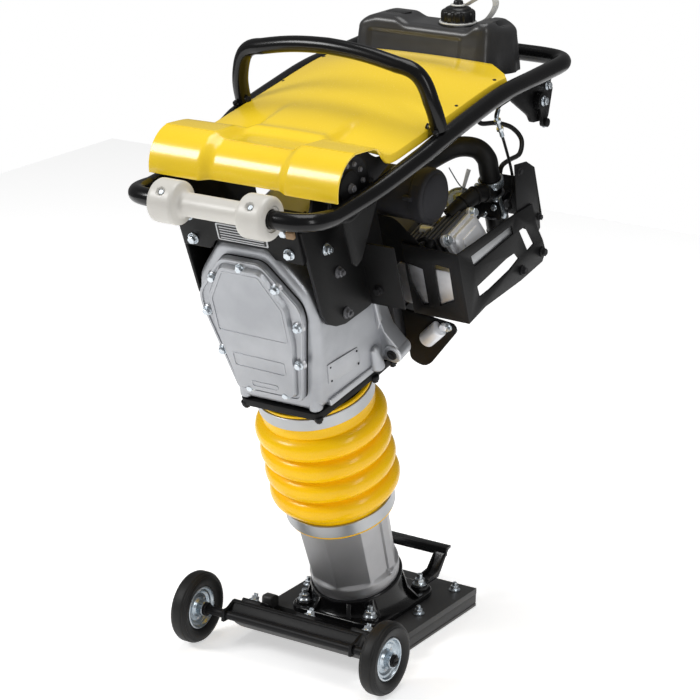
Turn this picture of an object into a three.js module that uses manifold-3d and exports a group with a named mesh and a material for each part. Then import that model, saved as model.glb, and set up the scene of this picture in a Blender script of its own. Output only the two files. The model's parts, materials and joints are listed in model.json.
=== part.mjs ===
// A jumping jack rammer: a four-stroke engine drives a crank that bounces the machine on its sprung foot.
// Millimetres, +Z up. The origin is the centre of the sole's flat underside, and the front faces -Y.
// The leg, the gear case and the engine lean forward together, so they share one turned group.
import * as THREE from "three";
import { mergeVertices } from "three/addons/utils/BufferGeometryUtils.js";
import Module from "manifold-3d";

const wasm = await Module();
wasm.setup();

// ---------------------------------------------------------------- driving dimensions
const GAP = 0.4; // clearance between neighbouring pieces
const ROUND_SIDES = 24; // facets round a large turned piece
const LEAN = THREE.MathUtils.degToRad(19.27); // forward lean of the leg
const LEG_FOOT_Y = -21.3; // where the leg's axis meets the ground

const SHOE_WIDTH = 285;
const SHOE_REAR = 134;
const SHOE_PLATE_FRONT = -134;
const SHOE_TOP = 35.6;
const SOLE_THICKNESS = 6;
const BOARD_TOP = 24;
const TOE_START = -147; // where the sole starts to curl up
const TOE_RADIUS = 134;
const TOE_ANGLE = THREE.MathUtils.degToRad(48);
const TOE_STRAIGHT = 10;

const WHEEL_RADIUS = 65;
const WHEEL_AXLE = { y: -275, z: 66.5 };
const WHEEL_X = 197.4; // centre plane of each wheel
const TYRE_WIDTH = 32;
const AXLE_RADIUS = 8;

const LEG_BOTTOM = 100; // heights along the leg's axis
const LOWER_CUFF = [264, 296];
const UPPER_CUFF = [505, 537];
const LOWER_SEAT_RADIUS = 90;
const UPPER_SEAT_RADIUS = 94;
const BELLOWS_FIRST_BULGE = 328.3;
const BELLOWS_PITCH = 44.7;
const BELLOWS_BULGES = 4;
const BELLOWS_RADIUS = 116.7;
const SPRING_CYLINDER_RADIUS = 57.5;
const GUIDE_BORE_RADIUS = 58.6;
const GUIDE_TUBE_RADIUS = 64;

const CASE_BOTTOM = 558;
const FLANGE_THICKNESS = 13;
const CASE_FRONT = -103;
const CASE_REAR = 100;
const CASE_WALL = 10;
const COVER_FRONT = -122.6;
const ENGINE_AXIS = 604; // height of the engine's crankshaft and the pinion
const GEAR_MODULE = 4;
const CRANK_TEETH = 38;
const PINION_TEETH = 8;
const CRANK_AXIS = ENGINE_AXIS + (GEAR_MODULE * (CRANK_TEETH + PINION_TEETH)) / 2;
const CRANK_THROW = 28;
const WRIST_PIN = 590;

const CYLINDER_TILT = THREE.MathUtils.degToRad(25); // the engine's cylinder rises to the right
const CYLINDER_Y = 251;

const HANDLE_RADIUS = 15;
const HANDLE_X = 200;
const HOOP_RADIUS = 14;
const ROLLER = { y: -482, z: 876, half: 111.5 };
const MOUNT_AXIS = { y: -348, z: 906 }; // the rubber mounts that the handle rocks on
const HOOD_HALF_WIDTH = 182;
const HOOD_BULGE_INNER = 80;
const HOOD_WALL = 3;
const HOOD_CROWN = 26;

// ---------------------------------------------------------------- geometry helpers
// A closed geometry as a manifold-3d solid.
function solid(geometry) {
  const bare = geometry.index ? geometry.toNonIndexed() : geometry.clone();
  for (const name of Object.keys(bare.attributes)) {
    if (name !== "position") bare.deleteAttribute(name);
  }
  const merged = mergeVertices(bare, 1e-4);
  const vertProperties = new Float32Array(merged.attributes.position.array);
  const triVerts = new Uint32Array(merged.index.array);
  return new wasm.Manifold(new wasm.Mesh({ numProp: 3, vertProperties, triVerts }));
}

// A manifold-3d solid as a three.js geometry.
function geometryOf(body) {
  const mesh = body.getMesh();
  const geometry = new THREE.BufferGeometry();
  geometry.setAttribute("position", new THREE.BufferAttribute(mesh.vertProperties, 3));
  geometry.setIndex(new THREE.BufferAttribute(mesh.triVerts, 1));
  geometry.computeVertexNormals();
  return geometry;
}

function join(...pieces) {
  return geometryOf(pieces.map(solid).reduce((sum, piece) => sum.add(piece)));
}

function cut(body, ...tools) {
  return geometryOf(tools.map(solid).reduce((rest, tool) => rest.subtract(tool), solid(body)));
}

function block([x0, x1], [y0, y1], [z0, z1]) {
  const box = new THREE.BoxGeometry(x1 - x0, y1 - y0, z1 - z0);
  return box.translate((x0 + x1) / 2, (y0 + y1) / 2, (z0 + z1) / 2);
}

// A cylinder or cone along one axis, from one end to the other, around the two other coordinates.
function rod(axis, [from, to], [a, b], radius, sides = 24, endRadius = radius) {
  const shape = new THREE.CylinderGeometry(endRadius, radius, to - from, sides);
  shape.rotateY(Math.PI / sides);
  const middle = (from + to) / 2;
  if (axis === "z") return shape.rotateX(Math.PI / 2).translate(a, b, middle);
  if (axis === "y") return shape.translate(a, middle, b);
  return shape.rotateZ(-Math.PI / 2).translate(middle, a, b);
}

function shapeOf(points, holes = []) {
  const shape = new THREE.Shape(points.map(([a, b]) => new THREE.Vector2(a, b)));
  shape.holes = holes.map((hole) => new THREE.Path(hole.map(([a, b]) => new THREE.Vector2(a, b))));
  return shape;
}

// An outline drawn across one axis and extruded along it. Outlines across X hold [y, z], across Y
// hold [x, z] and across Z hold [x, y].
function prism(axis, [from, to], points, { holes = [], steps = 1 } = {}) {
  const depth = to - from;
  const body = new THREE.ExtrudeGeometry(shapeOf(points, holes), { depth, steps, bevelEnabled: false });
  if (axis === "z") return body.translate(0, 0, from);
  if (axis === "y") return body.rotateX(Math.PI / 2).translate(0, to, 0);
  const turn = new THREE.Matrix4().makeBasis(
    new THREE.Vector3(0, 1, 0),
    new THREE.Vector3(0, 0, 1),
    new THREE.Vector3(1, 0, 0),
  );
  return body.applyMatrix4(turn).translate(from, 0, 0);
}

// A profile of [radius, height] turned about the Z axis. It closes on itself unless it starts on the axis.
function turned(profile, sides = ROUND_SIDES) {
  const points = profile.map(([r, h]) => new THREE.Vector2(r, h));
  if (profile[0][0] > 0) points.push(points[0].clone());
  return new THREE.LatheGeometry(points, sides).rotateX(Math.PI / 2);
}

// The same, about an axis along X or Y.
function turnedAlong(axis, profile, [a, b], sides = ROUND_SIDES) {
  const body = turned(profile, sides);
  if (axis === "x") return body.rotateY(Math.PI / 2).translate(0, a, b);
  return body.rotateX(-Math.PI / 2).translate(a, 0, b);
}

// An outline's corners rounded to a radius, each by a short curve.
function softened(points, radius, steps = 3) {
  const corners = points.map(([a, b]) => new THREE.Vector2(a, b));
  const result = [];
  corners.forEach((corner, i) => {
    const before = corners[(i + corners.length - 1) % corners.length];
    const after = corners[(i + 1) % corners.length];
    const reach = Math.min(radius, before.distanceTo(corner) * 0.45, after.distanceTo(corner) * 0.45);
    const start = corner.clone().lerp(before, reach / before.distanceTo(corner));
    const end = corner.clone().lerp(after, reach / after.distanceTo(corner));
    const curve = new THREE.QuadraticBezierCurve(start, corner, end);
    curve.getPoints(steps).forEach((p) => result.push([p.x, p.y]));
  });
  return result;
}

function arc([a, b], radius, fromDegrees, toDegrees, steps) {
  const points = [];
  for (let i = 0; i <= steps; i += 1) {
    const angle = THREE.MathUtils.degToRad(fromDegrees + ((toDegrees - fromDegrees) * i) / steps);
    points.push([a + radius * Math.cos(angle), b + radius * Math.sin(angle)]);
  }
  return points;
}

// A route through given points: an extrusion along it has one section at each point.
class Route extends THREE.Curve {
  constructor(points) {
    super();
    this.points = points;
  }

  getPoint(t) {
    const place = t * (this.points.length - 1);
    const i = Math.min(Math.floor(place), this.points.length - 2);
    return this.points[i].clone().lerp(this.points[i + 1], place - i);
  }

  getTangent(t) {
    const i = Math.round(t * (this.points.length - 1));
    const here = this.points[i];
    const sum = new THREE.Vector3();
    if (i > 0) sum.add(here.clone().sub(this.points[i - 1]).normalize());
    if (i < this.points.length - 1) sum.add(this.points[i + 1].clone().sub(here).normalize());
    return sum.normalize();
  }

  getUtoTmapping(u) {
    return u;
  }
}

// One rounded corner between two straight runs.
function bend(start, corner, end, steps = 5) {
  const [a, b, c] = [start, corner, end].map(([x, y, z]) => new THREE.Vector3(x, y, z));
  return new THREE.QuadraticBezierCurve3(a, b, c).getPoints(steps);
}

// Straight runs between points, with each corner bent to a radius.
function bentRoute(points, radius, steps = 5) {
  const at = points.map(([x, y, z]) => new THREE.Vector3(x, y, z));
  const result = [at[0]];
  for (let i = 1; i < at.length - 1; i += 1) {
    const back = at[i - 1].distanceTo(at[i]);
    const ahead = at[i + 1].distanceTo(at[i]);
    const reach = Math.min(radius, back * 0.48, ahead * 0.48);
    const start = at[i].clone().lerp(at[i - 1], reach / back);
    const end = at[i].clone().lerp(at[i + 1], reach / ahead);
    result.push(...new THREE.QuadraticBezierCurve3(start, at[i], end).getPoints(steps));
  }
  result.push(at[at.length - 1]);
  return result;
}

// A smooth route through points, for hoses and cables.
function smoothRoute(points, steps) {
  const curve = new THREE.CatmullRomCurve3(points.map(([x, y, z]) => new THREE.Vector3(x, y, z)));
  return curve.getSpacedPoints(steps);
}

function tubeAlong(points, radius, sides = 16) {
  const section = new THREE.Shape(arc([0, 0], radius, 0, 360, sides).slice(0, -1).map(
    ([a, b]) => new THREE.Vector2(a, b),
  ));
  const extrudePath = new Route(points);
  return new THREE.ExtrudeGeometry(section, {
    steps: points.length - 1,
    extrudePath,
    bevelEnabled: false,
  });
}

// A gear's outline with straight-sided teeth; the first tooth, or the first gap, points at a given angle.
function gearOutline([a, b], teeth, { startAngle, onTooth }) {
  const pitchRadius = (GEAR_MODULE * teeth) / 2;
  const tip = pitchRadius + GEAR_MODULE * 0.75;
  const root = pitchRadius - GEAR_MODULE * 1.1;
  const pitch = (2 * Math.PI) / teeth;
  const points = [];
  for (let i = 0; i < teeth; i += 1) {
    const middle = startAngle + (i + (onTooth ? 0 : 0.5)) * pitch;
    for (const [radius, side] of [[root, -0.31], [tip, -0.12], [tip, 0.12], [root, 0.31]]) {
      const angle = middle + side * pitch;
      points.push([a + radius * Math.cos(angle), b + radius * Math.sin(angle)]);
    }
  }
  return points;
}

function mirrored(points) {
  return [...points, ...points.map(([x, z]) => [-x, z]).reverse()];
}

// ---------------------------------------------------------------- the scene graph
const rammer = new THREE.Group();
const leaned = new THREE.Group(); // the leg's own frame: its Z axis runs up the leg
leaned.position.y = LEG_FOOT_Y;
leaned.rotation.x = LEAN;
rammer.add(leaned);

const FINISHES = {
  black_paint: { color: 0x1b1b1d, roughness: 0.45, metalness: 0.2 },
  gloss_black: { color: 0x0e0e10, roughness: 0.15, metalness: 0.3 },
  black_plastic: { color: 0x1c1c1e, roughness: 0.4, metalness: 0 },
  grey_plastic: { color: 0x35353a, roughness: 0.6, metalness: 0 },
  pale_plastic: { color: 0xd2cfc8, roughness: 0.45, metalness: 0 },
  rubber: { color: 0x1a1a1a, roughness: 0.75, metalness: 0 },
  yellow_rubber: { color: 0xf7b80f, roughness: 0.3, metalness: 0 },
  yellow_paint: { color: 0xf3cf2e, roughness: 0.25, metalness: 0 },
  aluminium: { color: 0xb9bbc0, roughness: 0.4, metalness: 0.8 },
  dull_aluminium: { color: 0x9b9ea2, roughness: 0.5, metalness: 0.7 },
  zinc: { color: 0xc2cbd2, roughness: 0.3, metalness: 0.9 },
  steel: { color: 0xa8a8aa, roughness: 0.35, metalness: 1 },
  wood: { color: 0x3a3634, roughness: 0.7, metalness: 0 },
};

function add(parent, name, geometry, finish) {
  const mesh = new THREE.Mesh(geometry, new THREE.MeshStandardMaterial(FINISHES[finish]));
  mesh.name = name;
  parent.add(mesh);
  return mesh;
}

// A geometry drawn in the leg's frame, moved to the ground's frame.
function leanedToGround(geometry) {
  leaned.updateMatrix();
  return geometry.applyMatrix4(leaned.matrix);
}

// ---------------------------------------------------------------- shoe
// One layer of the sole between two depths, flat to the toe and then curled up.
function soleLayer(low, high) {
  const side = (depth) => {
    const radius = TOE_RADIUS - depth;
    const curl = arc([TOE_START, TOE_RADIUS], radius, -90, -90 - THREE.MathUtils.radToDeg(TOE_ANGLE), 8);
    const [lastY, lastZ] = curl[curl.length - 1];
    const end = [
      lastY - TOE_STRAIGHT * Math.cos(TOE_ANGLE),
      lastZ + TOE_STRAIGHT * Math.sin(TOE_ANGLE),
    ];
    return [[SHOE_REAR, depth], ...curl, end];
  };
  return [...side(low), ...side(high).reverse()];
}

function buildShoe() {
  const half = SHOE_WIDTH / 2;
  add(rammer, "sole_plate", prism("x", [-half, half], soleLayer(0, SOLE_THICKNESS)), "steel");
  const boardHalf = half - 3;
  const board = soleLayer(SOLE_THICKNESS + GAP, BOARD_TOP);
  add(rammer, "shoe_board", prism("x", [-boardHalf, boardHalf], board), "wood");

  const plate = block([-half, half], [SHOE_PLATE_FRONT, SHOE_REAR], [BOARD_TOP + GAP, SHOE_TOP]);
  const lugSide = [[-130, 25], [-150, 27], [-166, 40], [-162, 47], [-140, 36], [-130, 35]];
  const lugs = [-half, half - 15].map((x) => prism("x", [x, x + 15], lugSide));
  add(rammer, "shoe_plate", join(plate, ...lugs), "black_paint");
}

function buildFootCasting() {
  const top = SHOE_TOP + GAP;
  const centreY = LEG_FOOT_Y - top * Math.tan(LEAN);
  const base = softened([[-94, -112], [94, -112], [94, 112], [-94, 112]], 40, 4)
    .map(([x, y]) => [x, y + centreY]);
  const foot = prism("z", [top, top + 15], base);
  const collar = leanedToGround(rod("z", [10, LEG_BOTTOM + 9], [0, 0], 96, 32, 84));
  const seat = leanedToGround(rod("z", [LEG_BOTTOM, LEG_BOTTOM + 40], [0, 0], 78, 32));
  const ribs = [[1, 1], [1, -1], [-1, 1], [-1, -1]].map(([sx, sy]) => {
    const web = prism("x", [-5, 5], [[40, 0], [112, 0], [112, 14], [60, 62], [40, 62]]);
    return web
      .rotateZ(-Math.atan2(sx * 70, sy * 85))
      .translate(0, centreY, top);
  });
  const below = block([-200, 200], [-250, 250], [-120, top]);
  const casting = cut(join(foot, collar, ...ribs), seat, below);
  add(rammer, "foot_casting", casting, "gloss_black");
}

function buildShoeHandle() {
  const strap = (x) => bentRoute([[x, 56, 57], [x, 96, 57], [x, 131, 101], [x, 139, 101]], 12, 2);
  const width = 13;
  const sides = [-70, 70].map((x) => {
    const run = strap(x).map((p) => [p.y, p.z]);
    const low = run.map(([y, z]) => [y, z]);
    const high = run.map(([y, z]) => [y, z + 5]).reverse();
    return prism("x", [x - width, x + width], [...low, ...high]);
  });
  const grip = block([-70 - width, 70 + width], [122, 139], [101, 106]);
  add(rammer, "shoe_handle", join(...sides, grip), "black_paint");
}

function buildWheelCarriage() {
  const bracketHalf = 137;
  const profile = [
    [-180, 30], [-193, 55], [-246, 86], [-251, 86], [-269, 69], [-265, 64.5], [-248.5, 80],
    [-195, 49], [-186, 32],
  ];
  const ends = [[-246, 82], [-251, 86], [-270, 78], [-285, 78], [-287, 57], [-262, 56], [-240, 72]];
  const bracket = join(
    prism("x", [-bracketHalf, bracketHalf], profile),
    prism("x", [-bracketHalf, -bracketHalf + 6], ends),
    prism("x", [bracketHalf - 6, bracketHalf], ends),
  );
  const { y, z } = WHEEL_AXLE;
  const bore = rod("x", [-150, 150], [y, z], AXLE_RADIUS + GAP, 20);
  add(rammer, "wheel_bracket", cut(bracket, bore), "black_paint");
  add(rammer, "axle", rod("x", [-222, 222], [y, z], AXLE_RADIUS, 20), "gloss_black");

  for (const [side, sign] of [["left", -1], ["right", 1]]) {
    const x = sign * WHEEL_X;
    const tyreHalf = TYRE_WIDTH / 2;
    const tyre = turnedAlong("x", [
      [42, -tyreHalf + 4], [58, -tyreHalf], [WHEEL_RADIUS, -8], [WHEEL_RADIUS, 8], [58, tyreHalf],
      [42, tyreHalf - 4], [39, 9], [39, -9],
    ], [y, z], 28).translate(x, 0, 0);
    add(rammer, `${side}_tyre`, tyre, "rubber");
    const bore = AXLE_RADIUS + GAP;
    const disc = turnedAlong("x", [
      [bore, -18], [13, -18], [13, -5], [34, -3], [38.3, -8], [38.3, 8], [33, 2], [13, 5], [13, 18],
      [bore, 18],
    ], [y, z]).translate(x, 0, 0);
    add(rammer, `${side}_wheel_disc`, disc, "zinc");
  }
}

// ---------------------------------------------------------------- leg
function buildLeg() {
  const [cuffLow, cuffHigh] = LOWER_CUFF;
  const legInner = GUIDE_TUBE_RADIUS + 4;
  const leg = turned([
    [SPRING_CYLINDER_RADIUS + GAP, LEG_BOTTOM + GAP], [77.5, LEG_BOTTOM + GAP], [77.5, 114],
    [80, 140], [93, cuffLow - 8], [93, cuffLow - GAP], [LOWER_SEAT_RADIUS, cuffLow - GAP],
    [LOWER_SEAT_RADIUS, cuffHigh - 2], [legInner, cuffHigh - 2], [legInner, 132],
    [SPRING_CYLINDER_RADIUS + GAP, 130],
  ]);
  add(leaned, "leg_tube", leg, "dull_aluminium");

  const cylinderInner = 51;
  const cylinder = turned([
    [cylinderInner, LEG_BOTTOM + GAP], [SPRING_CYLINDER_RADIUS, LEG_BOTTOM + GAP],
    [SPRING_CYLINDER_RADIUS, 520], [20.5, 520], [20.5, 506], [cylinderInner, 506],
  ]);
  add(leaned, "spring_cylinder", cylinder, "steel");

  const bandThickness = 4;
  const cuffWall = 4;
  const band = (seat, from, to) => {
    const inner = seat + GAP + cuffWall + GAP;
    return turned([[inner, from], [inner + bandThickness, from], [inner + bandThickness, to], [inner, to]]);
  };
  add(leaned, "lower_band", band(LOWER_SEAT_RADIUS, 269, 294), "aluminium");
  add(leaned, "upper_band", band(UPPER_SEAT_RADIUS, 507, 531), "aluminium");

  const valley = 103;
  const steps = 4;
  const skin = (offset) => {
    const points = [];
    const first = BELLOWS_FIRST_BULGE - BELLOWS_PITCH / 2;
    const count = BELLOWS_BULGES * steps;
    for (let i = 0; i <= count; i += 1) {
      const swell = Math.abs(Math.sin((Math.PI * i) / steps)) ** 0.8;
      points.push([
        valley + (BELLOWS_RADIUS - valley) * swell - offset,
        first + (BELLOWS_PITCH * i) / steps,
      ]);
    }
    return points;
  };
  const [topLow, topHigh] = UPPER_CUFF;
  const lowerInner = LOWER_SEAT_RADIUS + GAP;
  const upperInner = UPPER_SEAT_RADIUS + GAP;
  const bellows = turned([
    [lowerInner, cuffLow], [lowerInner + cuffWall, cuffLow], [lowerInner + cuffWall, cuffHigh],
    ...skin(0),
    [upperInner + cuffWall, topLow - 3], [upperInner + cuffWall, topHigh - 5],
    [upperInner + cuffWall + 1, topHigh],
    [upperInner, topHigh], [upperInner, topLow - 6],
    ...skin(4).reverse(),
    [lowerInner, cuffHigh],
  ]);
  add(leaned, "bellows", bellows, "yellow_rubber");
}

function springCoil(radius, wire, from, to, turns) {
  const points = [];
  const perTurn = 8;
  for (let i = 0; i <= turns * perTurn; i += 1) {
    const angle = (2 * Math.PI * i) / perTurn;
    const height = from + wire + ((to - from - 2 * wire) * i) / (turns * perTurn);
    points.push(new THREE.Vector3(radius * Math.cos(angle), radius * Math.sin(angle), height));
  }
  return tubeAlong(points, wire, 5);
}

function buildSprings() {
  const pistonLow = 310;
  const pistonHigh = 334;
  const rodRadius = 13;
  const eyeHalf = 9;
  const forkFloor = WRIST_PIN - 2 * CRANK_THROW - 14; // the rod's eye can drop this deep into the fork
  const stem = turned([
    [0, pistonLow], [50, pistonLow], [50, pistonHigh], [rodRadius, pistonHigh], [rodRadius, forkFloor],
    [0, forkFloor],
  ], 24);
  const cheeks = [-1, 1].map((side) => {
    const inner = side * (eyeHalf + GAP);
    const outer = side * 14.4;
    const span = [Math.min(inner, outer), Math.max(inner, outer)];
    const hole = arc([0, WRIST_PIN], 6, 0, 360, 14).slice(0, -1).reverse();
    return prism("y", span, softened([
      [-12.5, forkFloor - 8], [12.5, forkFloor - 8], [12.5, WRIST_PIN + 10], [-12.5, WRIST_PIN + 10],
    ], 6, 2), { holes: [hole] });
  });
  add(leaned, "piston_rod", join(stem, ...cheeks), "steel");
  const clear = 1;
  add(leaned, "lower_spring", springCoil(40, 4.5, LEG_BOTTOM + clear, pistonLow - clear, 7), "steel");
  add(leaned, "upper_spring", springCoil(40, 4.5, pistonHigh + clear, 506 - clear, 6), "steel");

  const bigEnd = CRANK_AXIS - CRANK_THROW;
  const shank = prism("y", [-7, 7], [[-8, WRIST_PIN], [8, WRIST_PIN], [10, bigEnd], [-10, bigEnd]]);
  const eyes = [
    rod("y", [-eyeHalf, eyeHalf], [0, WRIST_PIN], 12, 20),
    rod("y", [-eyeHalf, eyeHalf], [0, bigEnd], 19, 24),
  ];
  const bores = [
    rod("y", [-20, 20], [0, WRIST_PIN], 6 + GAP, 16),
    rod("y", [-20, 20], [0, bigEnd], 9.9, 20),
  ];
  add(leaned, "connecting_rod", cut(join(shank, ...eyes), ...bores), "steel");
}

// ---------------------------------------------------------------- gear case
// The case is as wide as the cover at the front and spreads towards the rear near its bottom flange.
function flare(geometry) {
  const place = geometry.attributes.position;
  const extra = 30;
  for (let i = 0; i < place.count; i += 1) {
    const along = THREE.MathUtils.clamp((place.getY(i) - CASE_FRONT) / 150, 0, 1);
    const down = THREE.MathUtils.clamp((700 - place.getZ(i)) / 130, 0, 1);
    const x = place.getX(i);
    place.setX(i, x + Math.sign(x) * extra * along * down);
  }
  return geometry;
}

function caseOutline(inset) {
  const bottom = CASE_BOTTOM + GAP + inset;
  const side = [
    [77, bottom], [91, 610], [110, 690], [117, 762], [106, 808], [50, 884],
  ].map(([x, z]) => [x - inset, z > 870 ? z - inset : z]);
  return mirrored(side);
}

function buildGearCase() {
  const shell = flare(prism("y", [CASE_FRONT, CASE_REAR], caseOutline(0), { steps: 5 }));
  const hollow = flare(prism("y", [CASE_FRONT - 5, CASE_REAR - CASE_WALL], caseOutline(CASE_WALL), {
    steps: 5,
  }));
  const throat = rod("z", [CASE_BOTTOM - 10, CASE_BOTTOM + 30], [0, 0], 36, 24);
  const shaftHole = rod("y", [80, CASE_REAR + 5], [0, ENGINE_AXIS], 10, 20);
  const crankBush = rod("y", [80, CASE_REAR - 3], [0, CRANK_AXIS], 18 + GAP, 24);
  const ears = [-1, 1].flatMap((sign) => [
    rod("y", [62, CASE_REAR], [sign * 131, 579], 17, 20),
    prism("y", [62, CASE_REAR], [
      [sign * 96, 562], [sign * 131, 562], [sign * 140, 593], [sign * 112, 650], [sign * 96, 650],
    ]),
  ]);
  const feet = [-1, 1].map((sign) => {
    const low = CASE_BOTTOM + GAP;
    return prism("y", [CASE_FRONT, CASE_FRONT + 22], [
      [sign * 60, low], [sign * 84, low], [sign * 84, low + 26],
      [sign * 78, low + 40], [sign * 60, low + 40],
    ]);
  });
  const belowCase = block([-200, 200], [-150, 150], [CASE_BOTTOM - 60, CASE_BOTTOM + GAP]);
  const body = cut(join(shell, ...ears, ...feet), hollow, throat, shaftHole, crankBush, belowCase);
  add(leaned, "gear_case", body, "aluminium");

  const edge = mirrored([[68, 592], [105, 765], [103, 778], [40, 866]]);
  const coverBack = CASE_FRONT - 2 * GAP;
  const rim = prism("y", [COVER_FRONT + 4, coverBack], softened(edge, 6, 2));
  const panel = prism("y", [COVER_FRONT + 1, coverBack], softened(
    mirrored([[58, 650], [88, 752], [84, 770], [32, 838]]), 6, 2,
  ));
  const lowerPanel = prism("y", [COVER_FRONT, coverBack], softened(
    mirrored([[44, 606], [49, 646]]), 5, 2,
  ));
  const bosses = [[0, 853], [62.4, 824], [90.5, 752], [76.2, 673], [36, 604]]
    .flatMap(([x, z]) => (x === 0 ? [[x, z]] : [[x, z], [-x, z]]))
    .map((place) => rod("y", [COVER_FRONT, coverBack], place, 10, 12));
  add(leaned, "case_cover", join(rim, panel, lowerPanel, ...bosses), "aluminium");

  const flange = prism("z", [CASE_BOTTOM - FLANGE_THICKNESS, CASE_BOTTOM], softened([
    [-79, CASE_FRONT - 2], [79, CASE_FRONT - 2], [110, 44], [116, 94], [-116, 94], [-110, 44],
  ], 10, 3));
  const neck = turned([
    [GUIDE_BORE_RADIUS, 330], [GUIDE_TUBE_RADIUS, 330], [GUIDE_TUBE_RADIUS, UPPER_CUFF[0]],
    [UPPER_SEAT_RADIUS, UPPER_CUFF[0]], [UPPER_SEAT_RADIUS, CASE_BOTTOM - 10],
    [GUIDE_BORE_RADIUS, CASE_BOTTOM - 10],
  ]);
  const bore = rod("z", [320, CASE_BOTTOM + 10], [0, 0], GUIDE_BORE_RADIUS, 32);
  add(leaned, "guide_cylinder", cut(join(flange, neck), bore), "black_paint");
}

function buildGears() {
  const mesh = { startAngle: -Math.PI / 2, onTooth: true };
  const wheel = prism("y", [24, 40], gearOutline([0, CRANK_AXIS], CRANK_TEETH, mesh));
  const shaft = rod("y", [38, CASE_REAR - 4], [0, CRANK_AXIS], 18, 24);
  const crankPin = rod("y", [-12, 26], [0, CRANK_AXIS - CRANK_THROW], 9.3, 20);
  const web = rod("y", [15, 26], [0, CRANK_AXIS - CRANK_THROW / 2], 30, 24);
  add(leaned, "crank_gear", join(wheel, shaft, web, crankPin), "steel");

  const pinion = prism("y", [24, 40], gearOutline([0, ENGINE_AXIS], PINION_TEETH, {
    startAngle: Math.PI / 2,
    onTooth: false,
  }));
  const pinionShaft = rod("y", [38, 122], [0, ENGINE_AXIS], 9, 20);
  const drum = turnedAlong("y", [
    [0, 118], [55, 118], [55, 146], [50.5, 146], [50.5, 122], [0, 122],
  ], [0, ENGINE_AXIS], 32);
  add(leaned, "clutch_pinion", join(pinion, pinionShaft, drum), "steel");
}

// ---------------------------------------------------------------- plates between the case and the handle
function buildPlates() {
  const inner = 118.5;
  const outer = inner + 6;
  const topZ = 963; // the rubber mount's centre in the leg's frame
  const topY = -9.4;
  const outline = [
    [-100, 925], [-94, 817], [-91, 763], [-82, 737], [-63, 721], [-37, 709], [30, 697], [88, 694],
    [104, 720], [110, 880],
    [60, 930], ...arc([topY, topZ], 36, 20, 140, 6), [-60, 946],
  ];
  const hole = arc([topY, topZ], 12, 0, 360, 16).slice(0, -1).reverse();
  for (const [side, sign] of [["left", -1], ["right", 1]]) {
    const span = sign > 0 ? [inner, outer] : [-outer, -inner];
    const plate = prism("x", span, outline, { holes: [hole] });
    const wing = block([outer - 1, 190], [44, 47], [696, 818]); // closes the gap to the muffler's guard
    add(leaned, `side_plate_${side}`, sign > 0 ? join(plate, wing) : plate, "black_paint");
  }
  const crossHalf = inner - GAP;
  const cross = join(
    block([-crossHalf, crossHalf], [-104, -99], [866, 946]),
    block([-crossHalf, crossHalf], [-104, -70], [941, 946]),
    block([-crossHalf, -crossHalf + 5], [-104, -66], [866, 946]),
    block([crossHalf - 5, crossHalf], [-104, -66], [866, 946]),
  );
  const caseRoom = prism("y", [CASE_FRONT - 1, CASE_REAR], caseOutline(-GAP));
  add(leaned, "cross_plate", cut(cross, caseRoom), "black_paint");
}

function buildRubberMounts() {
  for (const [side, sign] of [["left", -1], ["right", 1]]) {
    const near = 124.5 + GAP;
    const far = 158;
    const body = turnedAlong("x", [
      [0, near], [26, near], [30, near + 6], [24, 141], [30, far - 6], [26, far], [0, far],
    ], [MOUNT_AXIS.y, MOUNT_AXIS.z], 24);
    if (sign < 0) body.rotateZ(Math.PI).translate(0, 2 * MOUNT_AXIS.y, 0);
    add(rammer, `rubber_mount_${side}`, body, "rubber");
  }
}

// ---------------------------------------------------------------- engine
// Turns a geometry drawn upright on the crankshaft so that its top leans to the right.
function tiltCylinder(geometry) {
  const upright = Math.PI / 2 - CYLINDER_TILT;
  return geometry.translate(0, 0, -ENGINE_AXIS).rotateY(upright).translate(0, 0, ENGINE_AXIS);
}

const CRANKCASE = { y: [150.4, 300], z: [524, 690] };

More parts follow.
